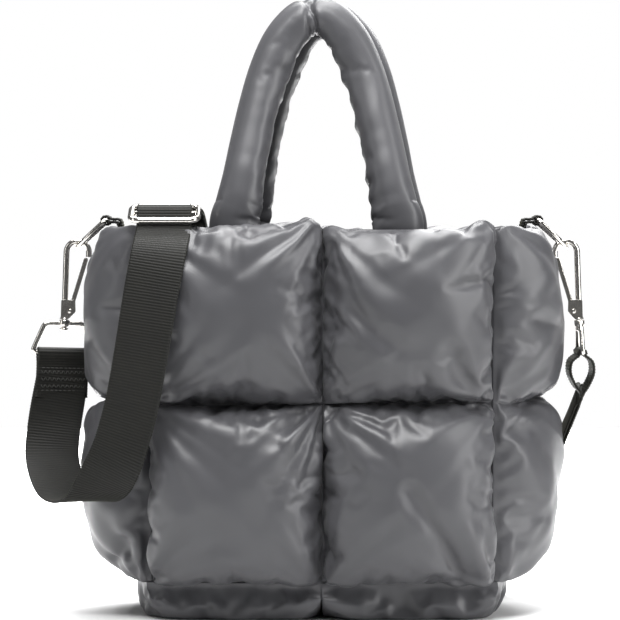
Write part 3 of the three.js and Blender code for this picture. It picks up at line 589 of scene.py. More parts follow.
class Wall:
    """One quilted wall: its cut, its cover while it is stuffed, and the finished padded piece."""

    def __init__(self, name, pillows, size, loft, folds, place, spacing):
        self.name = name
        self.seed = 10.0 * len(name) + 0.5
        self.pillows = pillows
        self.size = size
        self.place = place
        self.us = cloth_lines(pillows[0], size[0], loft, spacing)
        self.vs = cloth_lines(pillows[1], size[1], loft, spacing)
        u, v = np.meshgrid(self.us, self.vs)
        self.u = u.ravel()
        self.v = v.ravel()
        edge_u = np.minimum(self.u, LAST_SHARE)
        edge_v = np.minimum(self.v, LAST_SHARE)
        puff = stuffed(edge_u, pillows[0]) * stuffed(edge_v, pillows[1])
        puff = puff * fold_share(self.u, self.v, folds, *size, size[0] / pillows[0])
        self.start = place(self.u, self.v, SEAM_THICKNESS / 2 + 0.86 * loft * puff)
        self.start += self.bulge(puff)
        seam_u = np.abs(self.u * pillows[0] - np.round(self.u * pillows[0])) < 1e-6
        seam_v = np.abs(self.v * pillows[1] - np.round(self.v * pillows[1])) < 1e-6
        self.sewn = np.flatnonzero(seam_u | seam_v)

    def bulge(self, puff):
        """How far the stuffing pushes the outer pillows out past the wall's outer seams."""
        swell = EDGE_BULGE * np.sin(0.9 * np.pi * puff)
        sideways = 2 * self.u - 1
        upward = 2 * self.v - 1
        sideways = np.sign(sideways) * np.clip((np.abs(sideways) - 0.6) / 0.4, 0, 1) ** 2 * swell
        upward = np.sign(upward) * np.clip((np.abs(upward) - 0.6) / 0.4, 0, 1) ** 2 * swell
        if self.name == "base_panel":
            # the two pillows also press on each other over their seam
            off_middle = 2 * self.u - 1
            near_seam = np.clip(1 - np.abs(off_middle) / 0.32, 0, 1) ** 1.5
            sideways -= np.sign(off_middle) * BASE_PRESS * near_seam * puff ** 0.5
            return np.stack([sideways, 0 * swell, 0 * swell], -1)
        if self.name.endswith("side_panel"):
            return np.stack([0 * swell, sideways, upward], -1)
        return np.stack([sideways, 0 * swell, upward], -1)

    def over_middle(self, lift):
        """The point over the middle of the wall at a height above its sheet."""
        return self.place(np.array([0.5]), np.array([0.5]), np.array([lift]))

    def sew(self):
        """Sews a cover that is closed by one point behind the wall, so that it holds pressure."""
        rim = rim_loop(len(self.us), len(self.vs))
        count = len(self.start)
        faces = [list(f) for f in grid_faces(len(self.us), len(self.vs))]
        faces += [[rim[(i + 1) % len(rim)], rim[i], count] for i in range(len(rim))]
        points = in_metres(np.concatenate([self.start, self.over_middle(-30.0)]))
        sewn = list(self.sewn) + [count]
        sew_cover(self.name, points, faces, sewn, *WALL_FILLING)

    def beside_seams(self, points, share, pillows, axis):
        """Keeps neighbouring pillows of the wall from bulging through each other at their seam."""
        if pillows < 2:
            return points
        axes = {"front_panel": (0, 2), "back_panel": (0, 2), "base_panel": (0, 1)}
        along = axes.get(self.name, (1, 2))[axis]
        seam = 0.0 if along < 2 else float(wall_height(np.array(0.5)))
        before = share < 0.5 - 1e-6
        after = share > 0.5 + 1e-6
        points[before, along] = np.minimum(points[before, along], seam - SEAT / 2)
        points[after, along] = np.maximum(points[after, along], seam + SEAT / 2)
        return points

    def finish(self, shapes):
        """The closed piece: the stuffed outer face with its gathers, and the plainer inner one."""
        across = len(self.us)
        up = len(self.vs)
        stuffed_cover = shapes[self.name + "_cover"][:len(self.start)]
        outer = held_travel(in_metres(self.start), stuffed_cover, WALL_TRAVEL * 0.001)
        outer = (outer - BAG_MIDDLE) * 1000
        sheet = outer.reshape(up, across, 3)
        normal = unit(np.cross(np.gradient(sheet, axis=1), np.gradient(sheet, axis=0))).reshape(-1, 3)
        if np.mean(normal @ (self.over_middle(5.0) - self.over_middle(0.0))[0]) < 0:
            normal = -normal
        folds = gathers(self.u, self.v, self.pillows, self.size, self.seed)
        outer = outer + normal * folds[:, None]
        if self.name == "front_panel":
            outer[:, 2] += peaked(self.u, self.v)
        for share, lines, axis in ((self.u, self.pillows[0], 0), (self.v, self.pillows[1], 1)):
            outer = self.beside_seams(outer, share, lines, axis)
        outer = in_metres(uneven(clear_of_neighbours(self.name, outer)))
        edge_u = np.minimum(self.u, LAST_SHARE)
        edge_v = np.minimum(self.v, LAST_SHARE)
        puff = lined(edge_u, self.pillows[0], self.size[0])
        puff = puff * lined(edge_v, self.pillows[1], self.size[1])
        inner = in_metres(self.place(self.u, self.v, -SEAM_THICKNESS / 2 - INSIDE_LOFT * puff))
        count = len(self.start)
        rim = rim_loop(across, up)
        after = np.roll(rim, -1)
        faces = np.concatenate([
            grid_faces(across, up),
            grid_faces(across, up)[:, ::-1] + count,
            np.stack([after, rim, rim + count, after + count], 1),
        ])
        return cloth_piece(self.name, np.concatenate([outer, inner]), faces)


def cloth_piece(name, points, faces):
    """A closed piece of nylon, smoothed once."""
    mesh = closed_mesh(name + "_cloth", points, faces)
    mesh.materials.append(NYLON)
    piece = linked(name + "_cloth", mesh)
    soft = piece.modifiers.new("soft", "SUBSURF")
    soft.levels = 1
    soft.render_levels = 1
    return piece


# Handles
HANDLE_SPAN = 114
HANDLE_RISE = 146
HANDLE_DIAMETER = 33
HANDLE_TUCK = 30
HANDLE_SHIFT = 6
HANDLE_LEAN = -4
HANDLE_END = (1.2, 0.44)

# One leg from its sewn end to the peak: out, up, across, through and lean, in shares.
HANDLE_LEG = [
    (1.00, 0.00, 1.20, 0.66, 0.04),
    (0.955, 0.09, 1.15, 0.84, 0.12),
    (0.885, 0.22, 1.07, 0.98, 0.28),
    (0.80, 0.38, 1.02, 1.00, 0.50),
    (0.69, 0.56, 0.99, 1.00, 0.72),
    (0.56, 0.73, 0.98, 1.00, 0.90),
    (0.40, 0.875, 0.95, 1.00, 0.98),
    (0.19, 0.975, 0.90, 1.00, 1.00),
]
HANDLE_PEAK = (0.0, 1.0, 0.84, 1.0, 1.0)


def smooth_rows(rows, steps):
    """Rows of numbers along a smooth curve through the given rows, in even steps between them."""
    rows = np.asarray(rows, float)
    ends = np.concatenate([[2 * rows[0] - rows[1]], rows, [2 * rows[-1] - rows[-2]]])
    made = []
    for i in range(len(rows) - 1):
        a, b, c, d = ends[i:i + 4]
        leave = (c - a) / 2
        arrive = (d - b) / 2
        for t in np.arange(steps) / steps:
            bend = -3 * b + 3 * c - 2 * leave - arrive
            made.append(b + leave * t + bend * t ** 2 + (2 * b - 2 * c + leave + arrive) * t ** 3)
    made.append(rows[-1])
    return np.array(made)


def front_inside(x, z):
    """The inside face of the front wall, as a distance from the middle of the bag."""
    u = np.array([x / PANEL_WIDTH + 0.5])
    v = np.array([np.clip((z - BOTTOM_SEAM) / PANEL_HEIGHT, 0, LAST_SHARE)])
    puff = lined(u, 2, PANEL_WIDTH) * lined(v, 2, PANEL_HEIGHT)
    return front_middle(x) - SEAM_THICKNESS / 2 - INSIDE_LOFT * float(puff[0])


class Handle:
    """One stuffed tube handle, sewn down the inside of its arch."""

    # points round the tube, and millimetres from ring to ring
    AROUND = 34
    RING_STEP = 3.0

    def __init__(self, name, facing):
        self.name = name
        seat_height = TOP_EDGE - HANDLE_TUCK / 2
        wall_seat = front_inside(HANDLE_SPAN / 2, seat_height) - SEAT
        wall_seat -= HANDLE_LEG[0][3] * HANDLE_DIAMETER / 2
        meeting = HANDLE_DIAMETER / 2 + SEAT / 2

        def section(row, outward):
            out, up, across, through, lean = row
            away = wall_seat + (meeting - wall_seat) * lean
            return [outward * out * HANDLE_SPAN / 2, away, TOP_EDGE + up * HANDLE_RISE,
                    across * HANDLE_DIAMETER, through * HANDLE_DIAMETER]

        def end(outward):
            across, through = (share * HANDLE_DIAMETER for share in HANDLE_END)
            low = TOP_EDGE - HANDLE_TUCK
            away = front_inside(HANDLE_SPAN / 2, low) - SEAT - through / 2
            return [outward * HANDLE_SPAN / 2, away, low, across, through]

        rows = [end(-1)]
        rows += [section(row, -1) for row in HANDLE_LEG]
        rows += [section(HANDLE_PEAK, 1)]
        rows += [section(row, 1) for row in reversed(HANDLE_LEG)]
        rows += [end(1)]
        path = smooth_rows(rows, 8)
        middle = path[:, :3]
        self.rings = len(path)
        along = unit(np.gradient(middle, axis=0))
        outward = unit(np.stack([along[:, 2], np.zeros(self.rings), -along[:, 0]], 1))
        through = unit(np.cross(along, outward))
        turn = 2 * np.pi * np.arange(self.AROUND) / self.AROUND
        ring = np.arange(self.rings)[:, None]
        from_peak = (ring - self.rings // 2) * self.RING_STEP
        # the tube is drawn in along its seam and folds over itself at the peak
        off_seam = np.minimum(turn, 2 * np.pi - turn)
        inside = np.exp(-(off_seam[None, :] / 0.16) ** 2)
        fold = np.exp(-((from_peak + 9 * np.cos(turn)[None, :] - 3) / 3.6) ** 2)
        fold = fold + 0.7 * np.exp(-((from_peak - 13 * np.cos(turn)[None, :] - 15) / 4) ** 2)
        fold = fold * np.clip(np.cos(turn - 1.2 * np.pi / 2)[None, :] + 0.4, 0, 1)
        girth = 0.95 - 0.15 * inside - 0.20 * fold
        half_across = np.cos(turn)[None, :] * path[:, 3:4] / 2 * girth
        half_through = np.sin(turn)[None, :] * path[:, 4:5] / 2 * girth
        points = middle[:, None, :]
        points = points + outward[:, None, :] * half_across[..., None]
        points = points + through[:, None, :] * half_through[..., None]
        points = points.reshape(-1, 3)
        points = np.concatenate([points, middle[:1], middle[-1:]])
        if facing < 0:
            points = points * np.array([-1, -1, 1])
        points[:, 0] += HANDLE_LEAN + (0 if facing < 0 else HANDLE_SHIFT)
        self.start = points
        self.faces = self.skin()
        seam = [i * self.AROUND for i in range(self.rings)]
        last = (self.rings - 1) * self.AROUND
        ends = list(range(2 * self.AROUND)) + list(range(last - self.AROUND, last + self.AROUND + 2))
        self.sewn = sorted(set(seam + ends))

    def skin(self):
        """Faces of the tube and of its two ends, which meet in the last two points."""
        faces = []
        count = self.AROUND
        for i in range(self.rings - 1):
            for k in range(count):
                near = i * count + k
                beside = i * count + (k + 1) % count
                faces.append([near, beside, beside + count, near + count])
        first = self.rings * count
        last = (self.rings - 1) * count
        for k in range(count):
            faces.append([(k + 1) % count, k, first])
            faces.append([last + k, last + (k + 1) % count, first + 1])
        return faces

    def sew(self):
        sew_cover(self.name, in_metres(self.start), self.faces, self.sewn, *HANDLE_FILLING)

    def finish(self, shapes):
        """The stuffed tube, puckered along its seam."""
        cover = shapes[self.name + "_cover"]
        points = held_travel(in_metres(self.start), cover, HANDLE_TRAVEL * 0.001)
        tube = points[:-2].reshape(self.rings, self.AROUND, 3)
        out = unit(tube - tube.mean(1, keepdims=True))
        turn = 2 * np.pi * np.arange(self.AROUND) / self.AROUND
        off_seam = np.minimum(turn, 2 * np.pi - turn) * HANDLE_DIAMETER / 2
        far = np.tile(off_seam, self.rings)
        where = np.repeat(np.arange(self.rings) * self.RING_STEP, self.AROUND)
        seeds = (3.3, 5.9) if self.name == "front_handle" else (8.1, 1.7)
        short = stretched_noise(where, far, 6, 40, seeds[0])
        long = stretched_noise(where, far, 17, 60, seeds[1])
        lift = 1.6 * crease(short) * np.exp(-far / 6) + 1.6 * crease(long) * np.exp(-far / 15)
        points[:-2] += out.reshape(-1, 3) * lift[:, None] * 0.001
        return cloth_piece(self.name, points, self.faces)


# Webbing
WEBBING_WIDTH = 38
WEBBING_THICKNESS = 1.6
LAYER_GAP = 0.5
FOLD_LENGTH = 32
# real ribs are 1.2 to 1.5 mm apart, drawn wider so that they show
RIB_PITCH = 2.0
RIB_HEIGHT = 0.2
TAB_WIDTH = 22
TAB_TUCK = 17

# Metal fittings
BAG_RING_WIRE = 3.6
BAG_RING_LENGTH = 28
BAG_RING_SLOPE = math.radians(43)
HOOK_WIRE = 4.2
HOOK_ARCH = 16
HOOK_HEIGHT = 42
HOOK_NOSE = 3
LEVER_THICKNESS = 2.6
LEVER_WIDTH = 3
LEVER_PIN = 2
RUNNING = 0.3
CHEEK_THICKNESS = 1.4
STUD_DIAMETER = 3.4
STUD_HEAD = 6
EYE_HEIGHT = 5
EYE_WALL = 1.6
STRAP_RING_WIRE = 3.4
STRAP_RING_HEIGHT = 21
STRAP_RING_TOP = 28
SLIDER_LENGTH = 28
SLIDER_WIRE = 4.4
SLIDER_BAR = 3.4
SLIDER_TILT = math.radians(20)
CLASP_TILT = math.radians(2)
LEFT_RING_TURN = math.radians(18)
BASE_HIGH = 8
BASE_LOW = -6
EYE_MIDDLE = BASE_LOW - RUNNING - EYE_HEIGHT / 2
PIVOT_X = HOOK_WIRE / 2 + LEVER_WIDTH / 2 + RUNNING
BOSS_RADIUS = LEVER_PIN / 2 + RUNNING + 1.7
STUD_LENGTH = EYE_HEIGHT + 2 * RUNNING - BASE_LOW

TAB_EYE = BAG_RING_WIRE / 2 + SEAT
TAB_THICKNESS = 2 * WEBBING_THICKNESS + LAYER_GAP
TAB_ROUND = TAB_EYE + WEBBING_THICKNESS
BAR_X = GUSSET_SEAM + gusset_bow(1) + SEAM_THICKNESS / 2 + TAB_ROUND - 0.5
BAR_Z = TOP_EDGE + SEAT + TAB_THICKNESS / 2 + 0.2
RING_END_X = BAR_X + BAG_RING_LENGTH * math.cos(BAG_RING_SLOPE)
RING_END_Z = BAR_Z - BAG_RING_LENGTH * math.sin(BAG_RING_SLOPE)
BEARING_HEIGHT = HOOK_HEIGHT + HOOK_ARCH / 2 - HOOK_WIRE / 2 - SEAT - BAG_RING_WIRE / 2
ARCH_BEARING = Vector((HOOK_ARCH / 2, 0, BEARING_HEIGHT))


def clasp_place(facing):
    """Where one side's hook stands: its stud on z, its lever toward the bag."""
    turn = Matrix.Rotation(-facing * CLASP_TILT, 4, "Y")
    if facing > 0:
        turn = turn @ Matrix.Rotation(math.pi, 4, "Z")
    bearing = turn @ ARCH_BEARING
    return Matrix.Translation(Vector((facing * RING_END_X, 0, RING_END_Z)) - bearing) @ turn


CLASPS = {"left": clasp_place(-1), "right": clasp_place(1)}
RING_TURNS = {
    "left": Matrix.Rotation(LEFT_RING_TURN, 4, "Z"),
    "right": Matrix.Rotation(math.pi / 2, 4, "Z"),
}


def rounded_outline(corners, steps):
    """A polygon's corners, each x, z and radius, as a closed outline with rounded corners."""
    outline = []
    for i, (x, z, radius) in enumerate(corners):
        here = np.array([x, z], float)
        before = unit(np.array(corners[i - 1][:2]) - here)
        after = unit(np.array(corners[(i + 1) % len(corners)][:2]) - here)
        half = math.acos(float(np.clip(before @ after, -1, 1))) / 2
        centre = here + unit(before + after) * radius / math.sin(half)
        start = here + before * radius / math.tan(half) - centre
        end = here + after * radius / math.tan(half) - centre
        turn = math.atan2(start[0] * end[1] - start[1] * end[0], start @ end)
        for k in range(steps + 1):
            a = turn * k / steps
            x = start[0] * math.cos(a) - start[1] * math.sin(a)
            z = start[0] * math.sin(a) + start[1] * math.cos(a)
            outline.append(centre + [x, z])
    return np.array(outline)


class Shells:
    """Gathers closed shells in millimetres and makes one piece of them."""

    def __init__(self):
        self.points = []
        self.faces = []
        self.count = 0

    def add(self, points, faces, place):
        m = np.array(place)
        points = np.asarray(points, float) @ m[:3, :3].T + m[:3, 3]
        volume = 0.0
        middle = points.mean(0)
        for face in faces:
            ring = points[list(face)] - middle
            for k in range(1, len(face) - 1):
                volume += float(np.dot(ring[0], np.cross(ring[k], ring[k + 1])))
        if volume < 0:
            faces = [list(face)[::-1] for face in faces]
        self.points.append(points)
        self.faces += [[i + self.count for i in face] for face in faces]
        self.count += len(points)

    def piece(self, name, material, bevel=0.0):
        mesh = closed_mesh(name, in_metres(np.concatenate(self.points)), self.faces)
        mesh.materials.append(material)
        made = linked(name, mesh)
        if bevel:
            edge = made.modifiers.new("worn_edges", "BEVEL")
            edge.width = bevel * 0.001
            edge.segments = 2
            edge.limit_method = "ANGLE"
            edge.angle_limit = math.radians(35)
            edge.harden_normals = True
        return made


def swept(path, diameter, closed, sides=20):
    """Round wire along a path."""
    path = np.asarray(path, float)
    count = len(path)
    if closed:
        along = unit(np.roll(path, -1, 0) - np.roll(path, 1, 0))
    else:
        along = unit(np.gradient(path, axis=0))
    normal = np.cross(along[0], [0.0, 1.0, 0.0])
    if np.linalg.norm(normal) < 0.1:
        normal = np.cross(along[0], [1.0, 0.0, 0.0])
    turn = 2 * np.pi * np.arange(sides) / sides
    rings = []
    for i in range(count):
        normal = normal - along[i] * (normal @ along[i])
        normal = normal / np.linalg.norm(normal)
        other = np.cross(along[i], normal)
        spokes = np.cos(turn)[:, None] * normal + np.sin(turn)[:, None] * other
        rings.append(path[i] + spokes * diameter / 2)
    faces = []
    spans = count if closed else count - 1
    for i in range(spans):
        near = i * sides
        far = ((i + 1) % count) * sides
        for k in range(sides):
            after = (k + 1) % sides
            faces.append([near + k, far + k, far + after, near + after])
    if not closed:
        faces.append(list(range(sides)))
        faces.append([(count - 1) * sides + k for k in reversed(range(sides))])
    return np.concatenate(rings), faces


def flat_path(outline):
    """Points of the XZ plane as points in space."""
    outline = np.asarray(outline, float)
    return np.stack([outline[:, 0], np.zeros(len(outline)), outline[:, 1]], 1)


def evenly(outline, spacing, closed):
    """A path with its long stretches divided, so that no step is longer than the spacing."""
    rows = list(outline) + ([outline[0]] if closed else [])
    made = []
    for a, b in zip(rows[:-1], rows[1:]):
        steps = max(1, math.ceil(np.linalg.norm(np.subtract(b, a)) / spacing))
        for k in range(steps):
            made.append(np.add(a, np.subtract(b, a) * (k / steps)))
    if not closed:
        made.append(np.asarray(rows[-1], float))
    return np.array(made)


def turned(profile, steps=28):
    """A shape turned on the z axis. Its profile, of radius and height, starts and ends on the axis
    or closes on itself."""
    profile = np.asarray(profile, float)
    on_axis = profile[0, 0] == 0
    body = profile[1:-1] if on_axis else profile
    count = len(body)
    points = []
    for k in range(steps):
        a = 2 * math.pi * k / steps
        points += [[r * math.cos(a), r * math.sin(a), z] for r, z in body]
    faces = []
    for k in range(steps):
        near = k * count
        far = ((k + 1) % steps) * count
        for i in range(count - 1):
            faces.append([near + i, near + i + 1, far + i + 1, far + i])
        if on_axis:
            faces.append([near, far, steps * count])
            faces.append([near + count - 1, steps * count + 1, far + count - 1])
        else:
            faces.append([near + count - 1, near, far, far + count - 1])
    if on_axis:
        points += [[0, 0, profile[0, 1]], [0, 0, profile[-1, 1]]]
    return points, faces


def plate(outline, low, high):
    """A flat plate with an outline in the XZ plane, from low to high along Y."""
    outline = np.asarray(outline, float)
    count = len(outline)
    points = [[x, low, z] for x, z in outline] + [[x, high, z] for x, z in outline]
    faces = [list(range(count)), [count + k for k in reversed(range(count))]]
    for k in range(count):
        after = (k + 1) % count
        faces.append([k, count + k, count + after, after])
    return points, faces


def nickel():
    """Zinc casting with polished nickel plate: bright and faintly warm, with a hazy wiped gloss."""
    material, tree = new_material("polished_nickel_plate")
    where = in_object(tree)
    haze = mottled(tree, where, 180.0, {"Detail": 3.0})
    # polishing ripples a millimetre or two apart
    ripple = mottled(tree, where, 420.0, {"Detail": 2.0})
    surfaced(tree, {
        "Base Color": blended(tree, haze, "#cfccc6", "#dddad5"), "Metallic": 1.0,
        "Roughness": ranged(tree, haze, 0.10, 0.24),
        "Normal": bumped(tree, ripple, 0.10, 0.0002)})
    return material


# a wave texture of this scale has one wave to a unit of length
WAVE_SCALE = 0.31416


def webbing():
    """Polyester webbing, woven with ribs across it: near black, with an olive sheen on the threads."""
    material, tree = new_material("ribbed_polyester_webbing")
    weave = add_node(tree, "ShaderNodeUVMap", {"uv_map": "weave"}, {}).outputs["UV"]
    # ribs of weft lie across the webbing; painted shade darkens the grooves between them to near black,
    # in step with the raised ribs
    waves_to_a_metre = 1 / (RIB_PITCH * 0.001)
    ribs = banded(tree, weave, WAVE_SCALE * waves_to_a_metre, "X", {"Phase Offset": math.pi / 2})
    # warp threads run along the webbing, some 0.9 mm apart
    threads = banded(tree, weave, 340.0, "Y", {"Distortion": 0.6, "Detail": 2.0, "Detail Scale": 4.0})
    worn = mottled(tree, weave, 60.0, {"Detail": 4.0})
    mixed = add_node(tree, "ShaderNodeMath", {"operation": "MULTIPLY"}, {0: threads, 1: worn})
    colour = blended(tree, mixed.outputs["Value"], "#0e0e0c", "#25251c")
    surfaced(tree, {
        # painted shade: the base colour falls to near black in the grooves between the ribs
        "Base Color": blended(tree, ranged(tree, ribs, 0.25, 1.0), "#050505", colour),
        "Roughness": 0.62, "IOR": 1.5, "Specular IOR Level": 0.28,
        "Sheen Weight": 0.12, "Sheen Roughness": 0.35, "Sheen Tint": linear("#8a8a68"),
        "Normal": bumped(tree, threads, 0.35, 0.0002)})
    return material


def sewing_thread(name, dark, light):
    """Bonded polyester sewing thread: tight, round and slightly waxy."""
    material, tree = new_material(name)
    where = in_object(tree)
    twist = mottled(tree, where, 2400.0, {"Detail": 1.0})
    surfaced(tree, {
        "Base Color": blended(tree, twist, dark, light), "Roughness": 0.45, "IOR": 1.5,
        "Normal": bumped(tree, twist, 0.3, 0.0001)})
    return material


NICKEL = nickel()
WEBBING = webbing()
THREAD = sewing_thread("bonded_polyester_thread", "#1c1c1b", "#3a3a36")


def growing_tree(name, start, sizes, result):
    """A geometry tree with a mesh and sizes going in and one mesh coming out, and its input node."""
    tree = bpy.data.node_groups.new(name, "GeometryNodeTree")
    tree.interface.new_socket(start, in_out="INPUT", socket_type="NodeSocketGeometry")
    for size in sizes:
        tree.interface.new_socket(size, in_out="INPUT", socket_type="NodeSocketFloat")
    tree.interface.new_socket(result, in_out="OUTPUT", socket_type="NodeSocketGeometry")
    return tree, add_node(tree, "NodeGroupInput", {}, {}).outputs


def end_tree(tree, shape, material, result):
    """Ends a geometry tree: instances are made real and the shape gets its material."""
    real = add_node(tree, "GeometryNodeRealizeInstances", {}, {"Geometry": shape})
    smooth = add_node(tree, "GeometryNodeSetShadeSmooth", {}, {"Geometry": real.outputs["Geometry"]})
    dressed = add_node(tree, "GeometryNodeSetMaterial", {}, {
        "Geometry": smooth.outputs["Geometry"], "Material": material})
    add_node(tree, "NodeGroupOutput", {}, {result: dressed.outputs["Geometry"]})


def worked_out(tree, operation, *values):
    """The result of a sum on one or two values."""
    node = add_node(tree, "ShaderNodeMath", {"operation": operation}, dict(enumerate(values)))
    return node.outputs["Value"]


def named_value(tree, name, data_type):
    inputs = {"Name": name}
    node = add_node(tree, "GeometryNodeInputNamedAttribute", {"data_type": data_type}, inputs)
    return node.outputs["Attribute"]


def ribbed_tree():
    """Raises the webbing's woven ribs, which cross it at an even pitch, out of its faces."""
    tree, given = growing_tree("woven_ribs", "Webbing", ["Rib Pitch", "Rib Height"], "Ribbed Webbing")
    turns = worked_out(tree, "DIVIDE", named_value(tree, "along", "FLOAT"), given["Rib Pitch"])
    wave = worked_out(tree, "SINE", worked_out(tree, "MULTIPLY", turns, 2 * math.pi))
    lift = worked_out(tree, "MULTIPLY", wave, given["Rib Height"])
    normal = add_node(tree, "GeometryNodeInputNormal", {}, {})
    offset = add_node(tree, "ShaderNodeVectorMath", {"operation": "SCALE"}, {
        "Vector": normal.outputs["Normal"], "Scale": lift})
    moved = add_node(tree, "GeometryNodeSetPosition", {}, {
        "Geometry": given["Webbing"], "Offset": offset.outputs["Vector"]})
    end_tree(tree, moved.outputs["Geometry"], WEBBING, "Ribbed Webbing")
    return tree


def stitch_tree():
    """Lays one short stitch of thread along each edge of its rows, by the edge's own run."""
    sizes = ["Stitch Length", "Thread Diameter"]
    tree, given = growing_tree("stitch_rows", "Rows", sizes, "Stitches")
    points = add_node(tree, "GeometryNodeMeshToPoints", {"mode": "EDGES"}, {"Mesh": given["Rows"]})
    ball = add_node(tree, "GeometryNodeMeshUVSphere", {}, {"Segments": 6, "Rings": 4, "Radius": 0.5})
    size = add_node(tree, "ShaderNodeCombineXYZ", {}, {
        "X": given["Thread Diameter"], "Y": given["Thread Diameter"], "Z": given["Stitch Length"]})
    turn = add_node(tree, "FunctionNodeAlignRotationToVector", {"axis": "Z"}, {
        "Vector": named_value(tree, "run", "FLOAT_VECTOR")})
    stitches = add_node(tree, "GeometryNodeInstanceOnPoints", {}, {
        "Points": points.outputs["Points"], "Instance": ball.outputs["Mesh"],
        "Rotation": turn.outputs["Rotation"], "Scale": size.outputs["Vector"]})
    end_tree(tree, stitches.outputs["Instances"], THREAD, "Stitches")
    return tree


def grown(piece, tree, sizes):
    """Runs a node tree on a piece with sizes for its named inputs and keeps the plain mesh."""
    modifier = piece.modifiers.new(tree.name, "NODES")
    modifier.node_group = tree
    inputs = [item for item in tree.interface.items_tree if item.in_out == "INPUT"]
    sockets = {item.name: item.identifier for item in inputs}
    for name, value in sizes.items():
        modifier[sockets[name]] = value
    bpy.context.view_layer.update()
    graph = bpy.context.evaluated_depsgraph_get()
    mesh = bpy.data.meshes.new_from_object(piece.evaluated_get(graph))
    piece.modifiers.remove(modifier)
    piece.data = mesh
    return piece


RIBBED = ribbed_tree()
STITCHED = stitch_tree()


def stitches(name, rows, length, diameter):
    """Rows of stitches. A row is a list of points in millimetres, with a stitch between two."""
    points = []
    edges = []
    for row in rows:
        edges += [(len(points) + k, len(points) + k + 1) for k in range(len(row) - 1)]
        points += list(row)
    points = in_metres(points)
    mesh = bpy.data.meshes.new(name)
    mesh.from_pydata([tuple(p) for p in points], edges, [])
    run = mesh.attributes.new("run", "FLOAT_VECTOR", "EDGE")
    ends = np.array(edges)
    run.data.foreach_set("vector", (points[ends[:, 1]] - points[ends[:, 0]]).ravel())
    sizes = {"Stitch Length": length * 0.001, "Thread Diameter": diameter * 0.001}
    return grown(linked(name, mesh), STITCHED, sizes)


# One face and edge of the webbing's section, in shares of half its width and half its thickness,
# with a thicker selvedge at each side
WEBBING_SECTION = [
    (-0.955, 1.12), (-0.90, 0.96), (-0.45, 0.94), (0, 0.94), (0.45, 0.94), (0.90, 0.96),
    (0.955, 1.12), (1.0, 0.4), (1.0, -0.4),
]


def ribbon(name, points, sides, width):
    """Woven webbing along points, with sides as the direction of its width."""
    points = np.asarray(points, float)
    length = np.concatenate([[0], np.cumsum(np.linalg.norm(np.diff(points, axis=0), axis=1))])
    steps = round(length[-1] / (RIB_PITCH / 4))
    at = np.linspace(0, length[-1], steps + 1)
    middle = np.stack([np.interp(at, length, points[:, k]) for k in range(3)], 1)
    side = np.stack([np.interp(at, length, np.asarray(sides)[:, k]) for k in range(3)], 1)
    # its direction is taken over a few steps each way, so that ribs don't cross in tight bends
    reach = 4
    along = np.zeros_like(middle)
    for i in range(len(middle)):
        along[i] = middle[min(len(middle) - 1, i + reach)] - middle[max(0, i - reach)]
    along = unit(along)
    across = unit(side - along * np.sum(side * along, 1, keepdims=True))
    face = np.cross(along, across)
    section = WEBBING_SECTION + [(-a, -b) for a, b in WEBBING_SECTION]
    count = len(section)
    rings = [middle + across * a * width / 2 + face * b * WEBBING_THICKNESS / 2 for a, b in section]
    rings = np.stack(rings, 1).reshape(-1, 3)
    corner = np.arange(len(middle) - 1)[:, None] * count
    here = corner + np.arange(count)[None, :]
    after = corner + (np.arange(count)[None, :] + 1) % count
    last = (len(middle) - 1) * count
    faces = list(np.stack([here, after, after + count, here + count], -1).reshape(-1, 4))
    faces.append(list(reversed(range(count))))
    faces.append([last + k for k in range(count)])
    mesh = closed_mesh(name, in_metres(rings), faces)
    # the ribs and the weave's pattern follow the length along the webbing
    at_point = np.repeat(at, count) * 0.001
    across_point = np.tile([a * width / 2 for a, b in section], len(middle)) * 0.001
    woven = mesh.attributes.new("along", "FLOAT", "POINT")
    woven.data.foreach_set("value", at_point)
    layout = mesh.uv_layers.new(name="weave")
    loops = np.zeros(len(mesh.loops), np.int32)
    mesh.loops.foreach_get("vertex_index", loops)
    layout.data.foreach_set("uv", np.stack([at_point[loops], across_point[loops]], 1).ravel())
    mesh.materials.append(WEBBING)
    sizes = {"Rib Pitch": RIB_PITCH * 0.001, "Rib Height": RIB_HEIGHT * 0.001}
    return grown(linked(name, mesh), RIBBED, sizes)


# Routes of the strap. X is a share of half the front wall's width, y of half the bag's depth and z
# of the top edge's height, then the direction of the webbing's width.
FRONT_ROUTE = [
    (-1.620, -0.03, 0.470, 1, 0.05, 0),
    (-1.620, -0.22, 0.385, 1, 0.15, 0),
    (-1.530, -0.70, 0.312, 0.88, 0.38, 0.05),
    (-1.360, -1.24, 0.310, 0.92, 0.25, -0.03),
    (-1.215, -1.61, 0.398, 0.95, -0.15, -0.20),
    (-1.115, -1.715, 0.530, 0.97, -0.22, -0.17),
    (-1.050, -1.730, 0.675, 0.97, -0.20, -0.15),
    (-0.995, -1.700, 0.820, 0.98, -0.15, -0.10),
    (-0.950, -1.600, 0.925, 1, -0.08, -0.04),
]
BACK_ROUTE = [
    (-0.918, -0.40, 1.038, 1, 0, 0),
    (-0.905, 0.40, 1.036, 1, 0, 0),
    (-0.890, 1.10, 1.024, 1, 0, 0),
    (-0.870, 1.62, 0.970, 1, 0.03, 0.05),
    (-0.820, 1.83, 0.850, 1, 0.05, 0.12),
    (-0.700, 1.88, 0.690, 0.95, 0.10, 0.25),
    (-0.480, 1.90, 0.500, 0.85, 0.30, 0.40),
    (-0.130, 1.93, 0.310, 0.60, 0.65, 0.45),
    (0.300, 1.92, 0.150, 0.20, 0.95, 0.20),
    (0.720, 1.82, 0.075, 0, 1, 0),
    (1.080, 1.55, 0.105, -0.10, 1, 0),
    (1.320, 1.08, 0.240, -0.05, 1, 0.20),
    (1.430, 0.56, 0.390, 0.05, 1, 0.15),
    (1.485, 0.22, 0.465, 0.05, 1, 0.1),
]
